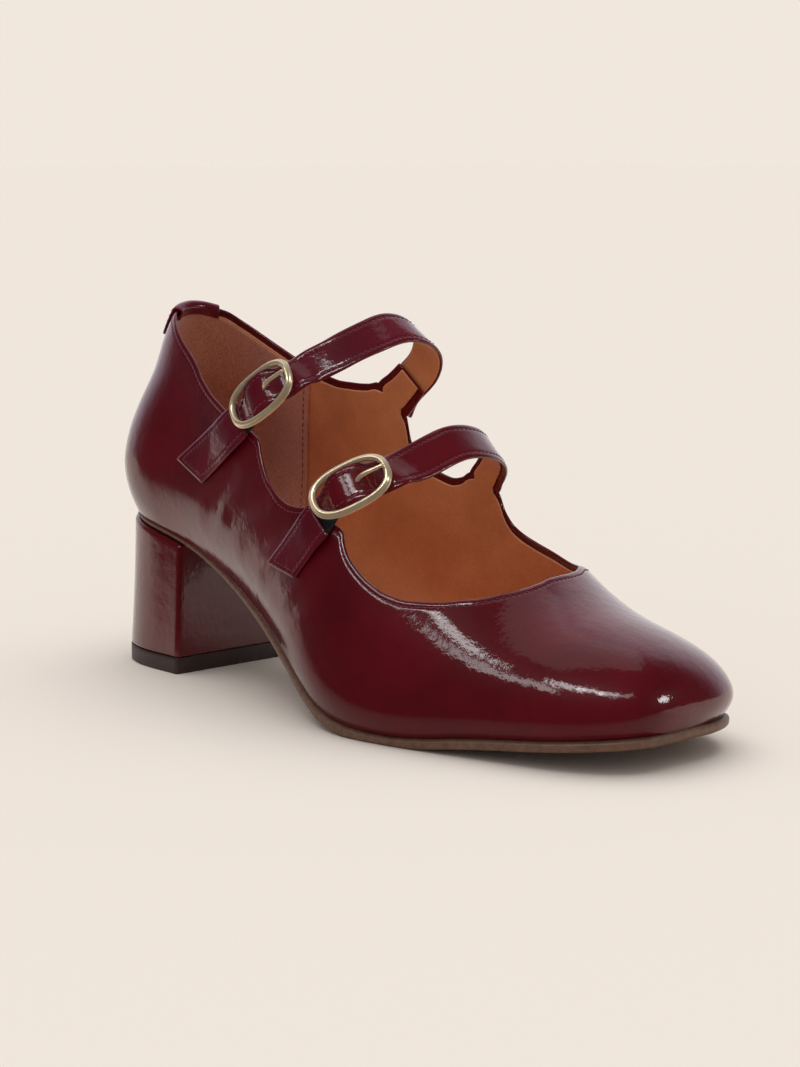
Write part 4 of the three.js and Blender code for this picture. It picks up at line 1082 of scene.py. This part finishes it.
def make_counter_lining():
    """Suede over the lining at the back, seamed along its front edge."""
    depth = SKIN + LINING + 0.12
    signed = np.linspace(-COUNTER_EDGE[-1], COUNTER_EDGE[1], 150)
    side = np.where(signed < 0, -1, 1)
    around = abs(signed)
    full = full_rise(around, side) - FOLD - 0.4
    shares = np.linspace(0.02, 1, 50)
    sheet = tucked(climb(around, side, full[:, None] * shares[None]))
    points = sheet.reshape(-1, 3)
    ids = np.arange(len(points)).reshape(sheet.shape[:2])
    quads = grid_quads(ids)
    normals = sheet_normals(points, quads)
    middle = np.array([60.0, 0, 90.0])
    if np.mean(np.sum(normals * (points - middle), 1)) < 0:
        quads, normals = quads[:, ::-1], -normals
    inner = points - normals * depth
    leather("counter_lining", inner, quads, SUEDE_THICK, SUEDE, rim=3)
    for name, column in (("outer", 2), ("inner", -3)):
        path = ids[column, 1:-2]
        seam = inner[path] - normals[path] * SUEDE_THICK
        stitches("counter_seam_" + name, [(seam, -normals[path])], TAN_THREAD, 2.4, 1.8, 0.22)


make_upper()
make_lining()
make_straps()
make_elastics()
for buckle, axes in (("front", FRONT_AXES), ("rear", REAR_AXES)):
    make_buckle("buckle_" + buckle, axes)
    make_prong("prong_" + buckle, axes)
make_heel()
make_outsole()
make_insole()
make_heel_tab()
make_counter_lining()


# Floor, light and camera.
CREAM = (0.879, 0.799, 0.723)
LIGHT_SHARE = 0.52  # of the floor's light that comes from all round
SUN_SPREAD = 70.0
FLOOR_REACH = 30.0
# The long softbox that draws the streak: azimuth, elevation and glow of each of its lamps.
STREAK = ((-113, 43, 4.0), (-95, 53, 7.5), (-72, 55, 9.0), (-49, 52, 7.0), (-30, 47, 2.5))
STREAK_LAMP = (21, 6)  # width and height of each in degrees
# The floor that gloss sees is painted darker along this way, between these two distances in metres: painted
# shade in the patent's reflections.
GLOSS_SHADE_WAY = (0.35, -0.94, 0)
GLOSS_SHADE_START, GLOSS_SHADE_END = 0.05, 0.13
# Painted shade: the near-black tone the floor takes in reflections.
GLOSS_SHADE_TONE = (0.01, 0.008, 0.008)
# The world that gloss sees, from dark in front of the shoe to light along this way behind it.
BEHIND = Vector((-0.7, 0.7, -0.1)).normalized()
GLOSS_WORLD = (
    (0.0, (0.01, 0.008, 0.01)), (0.3, (0.025, 0.02, 0.025)), (0.45, (0.16, 0.14, 0.17)),
    (0.62, (0.66, 0.6, 0.7)), (0.9, (0.92, 0.88, 0.92)),
)


def stage():
    """A pale floor. What gloss sees of it is painted darker towards the front: painted shade in the
    reflections.
    """
    look, tree, shader, where = nodes_of("floor")
    shade_ramp = tree.nodes.new("ShaderNodeMapRange")
    ahead = along_node(tree, where, GLOSS_SHADE_WAY)
    feed(tree, shade_ramp, {"Value": ahead, "From Min": GLOSS_SHADE_START, "From Max": GLOSS_SHADE_END})
    path = tree.nodes.new("ShaderNodeLightPath")
    seen = tree.nodes.new("ShaderNodeMath")
    seen.operation = "MULTIPLY"
    feed(tree, seen, {0: path.outputs["Is Glossy Ray"], 1: shade_ramp.outputs["Result"]})
    # Painted shade: glossy rays see the floor mixed towards a near-black tone along the ramp.
    tone = mix_node(tree, seen.outputs[0], (*CREAM, 1), (*GLOSS_SHADE_TONE, 1))
    feed(tree, shader, {"Base Color": tone, "Roughness": 1.0, "Specular IOR Level": 0.0})
    data = bpy.data.meshes.new("floor")
    corners = [(x * FLOOR_REACH, y * FLOOR_REACH, 0) for x, y in ((-1, -1), (1, -1), (1, 1), (-1, 1))]
    data.from_pydata(corners, [], [(0, 1, 2, 3)])
    data.materials.append(look)
    floor = linked("floor", data)


def placed_light(name, kind, place, target, power):
    data = bpy.data.lights.new(name, kind)
    data.energy = power
    light = linked(name, data)
    light.location = place
    light.rotation_euler = (Vector(target) - Vector(place)).to_track_quat("-Z", "Y").to_euler()
    return light


PANEL_AWAY = 1.5
PANEL_TARGET = Vector((0.12, 0, 0.05))


def panel(name, azimuth, elevation, size, glow):
    """A panel that only gloss sees, in a direction from the shoe; glow is its brightness."""
    turn, lift = math.radians(azimuth), math.radians(elevation)
    way = Vector((math.cos(turn) * math.cos(lift), math.sin(turn) * math.cos(lift), math.sin(lift)))
    wide, tall = (2 * PANEL_AWAY * math.tan(math.radians(angle) / 2) for angle in size)
    power = glow * math.pi * wide * tall
    light = placed_light(name, "AREA", PANEL_TARGET + way * PANEL_AWAY, PANEL_TARGET, power)
    light.data.shape = "RECTANGLE"
    light.data.size, light.data.size_y = wide, tall
    light.visible_diffuse = False
    light.visible_camera = False


def lights():
    world = bpy.data.worlds.new("studio")
    bpy.context.scene.world = world
    world.use_nodes = True
    tree = world.node_tree
    way = tree.nodes.new("ShaderNodeTexCoord").outputs["Generated"]
    gloss = ramp_node(tree, along_node(tree, way, BEHIND), GLOSS_WORLD)
    path = tree.nodes.new("ShaderNodeLightPath")
    diffuse = (LIGHT_SHARE, LIGHT_SHARE, LIGHT_SHARE, 1)
    lit = mix_node(tree, path.outputs["Is Glossy Ray"], diffuse, gloss)
    seen = mix_node(tree, path.outputs["Is Camera Ray"], lit, (*CREAM, 1))
    feed(tree, tree.nodes["Background"], {"Color": seen})
    sun = placed_light("soft_sun", "SUN", (-0.1, 0.1, 1.2), (0.1, 0, 0), math.pi * (1 - LIGHT_SHARE))
    sun.data.angle = math.radians(SUN_SPREAD)
    sun.visible_glossy = False
    for azimuth, elevation, glow in STREAK:
        panel("streak", azimuth, elevation, STREAK_LAMP, glow)
    panel("spot", 26, 23, (12, 7), 13.0)
    panel("top", 150, 70, (50, 30), 0.4)


# The camera's place and lens: the photo's distance and height, aimed at the shoe.
CAMERA_PLACE = Vector((0.6658, -0.5139, 0.1725))
CAMERA_TARGET = Vector((0.101, 0.0, 0.054))
LENS = 110.0


def camera():
    data = bpy.data.cameras.new("camera")
    data.sensor_fit = "HORIZONTAL"
    data.sensor_width = 36
    data.lens = LENS
    eye = linked("camera", data)
    eye.location = CAMERA_PLACE
    eye.rotation_euler = (CAMERA_TARGET - CAMERA_PLACE).to_track_quat("-Z", "Y").to_euler()
    bpy.context.scene.camera = eye
    bpy.context.scene.view_settings.view_transform = "Standard"


stage()
lights()
camera()
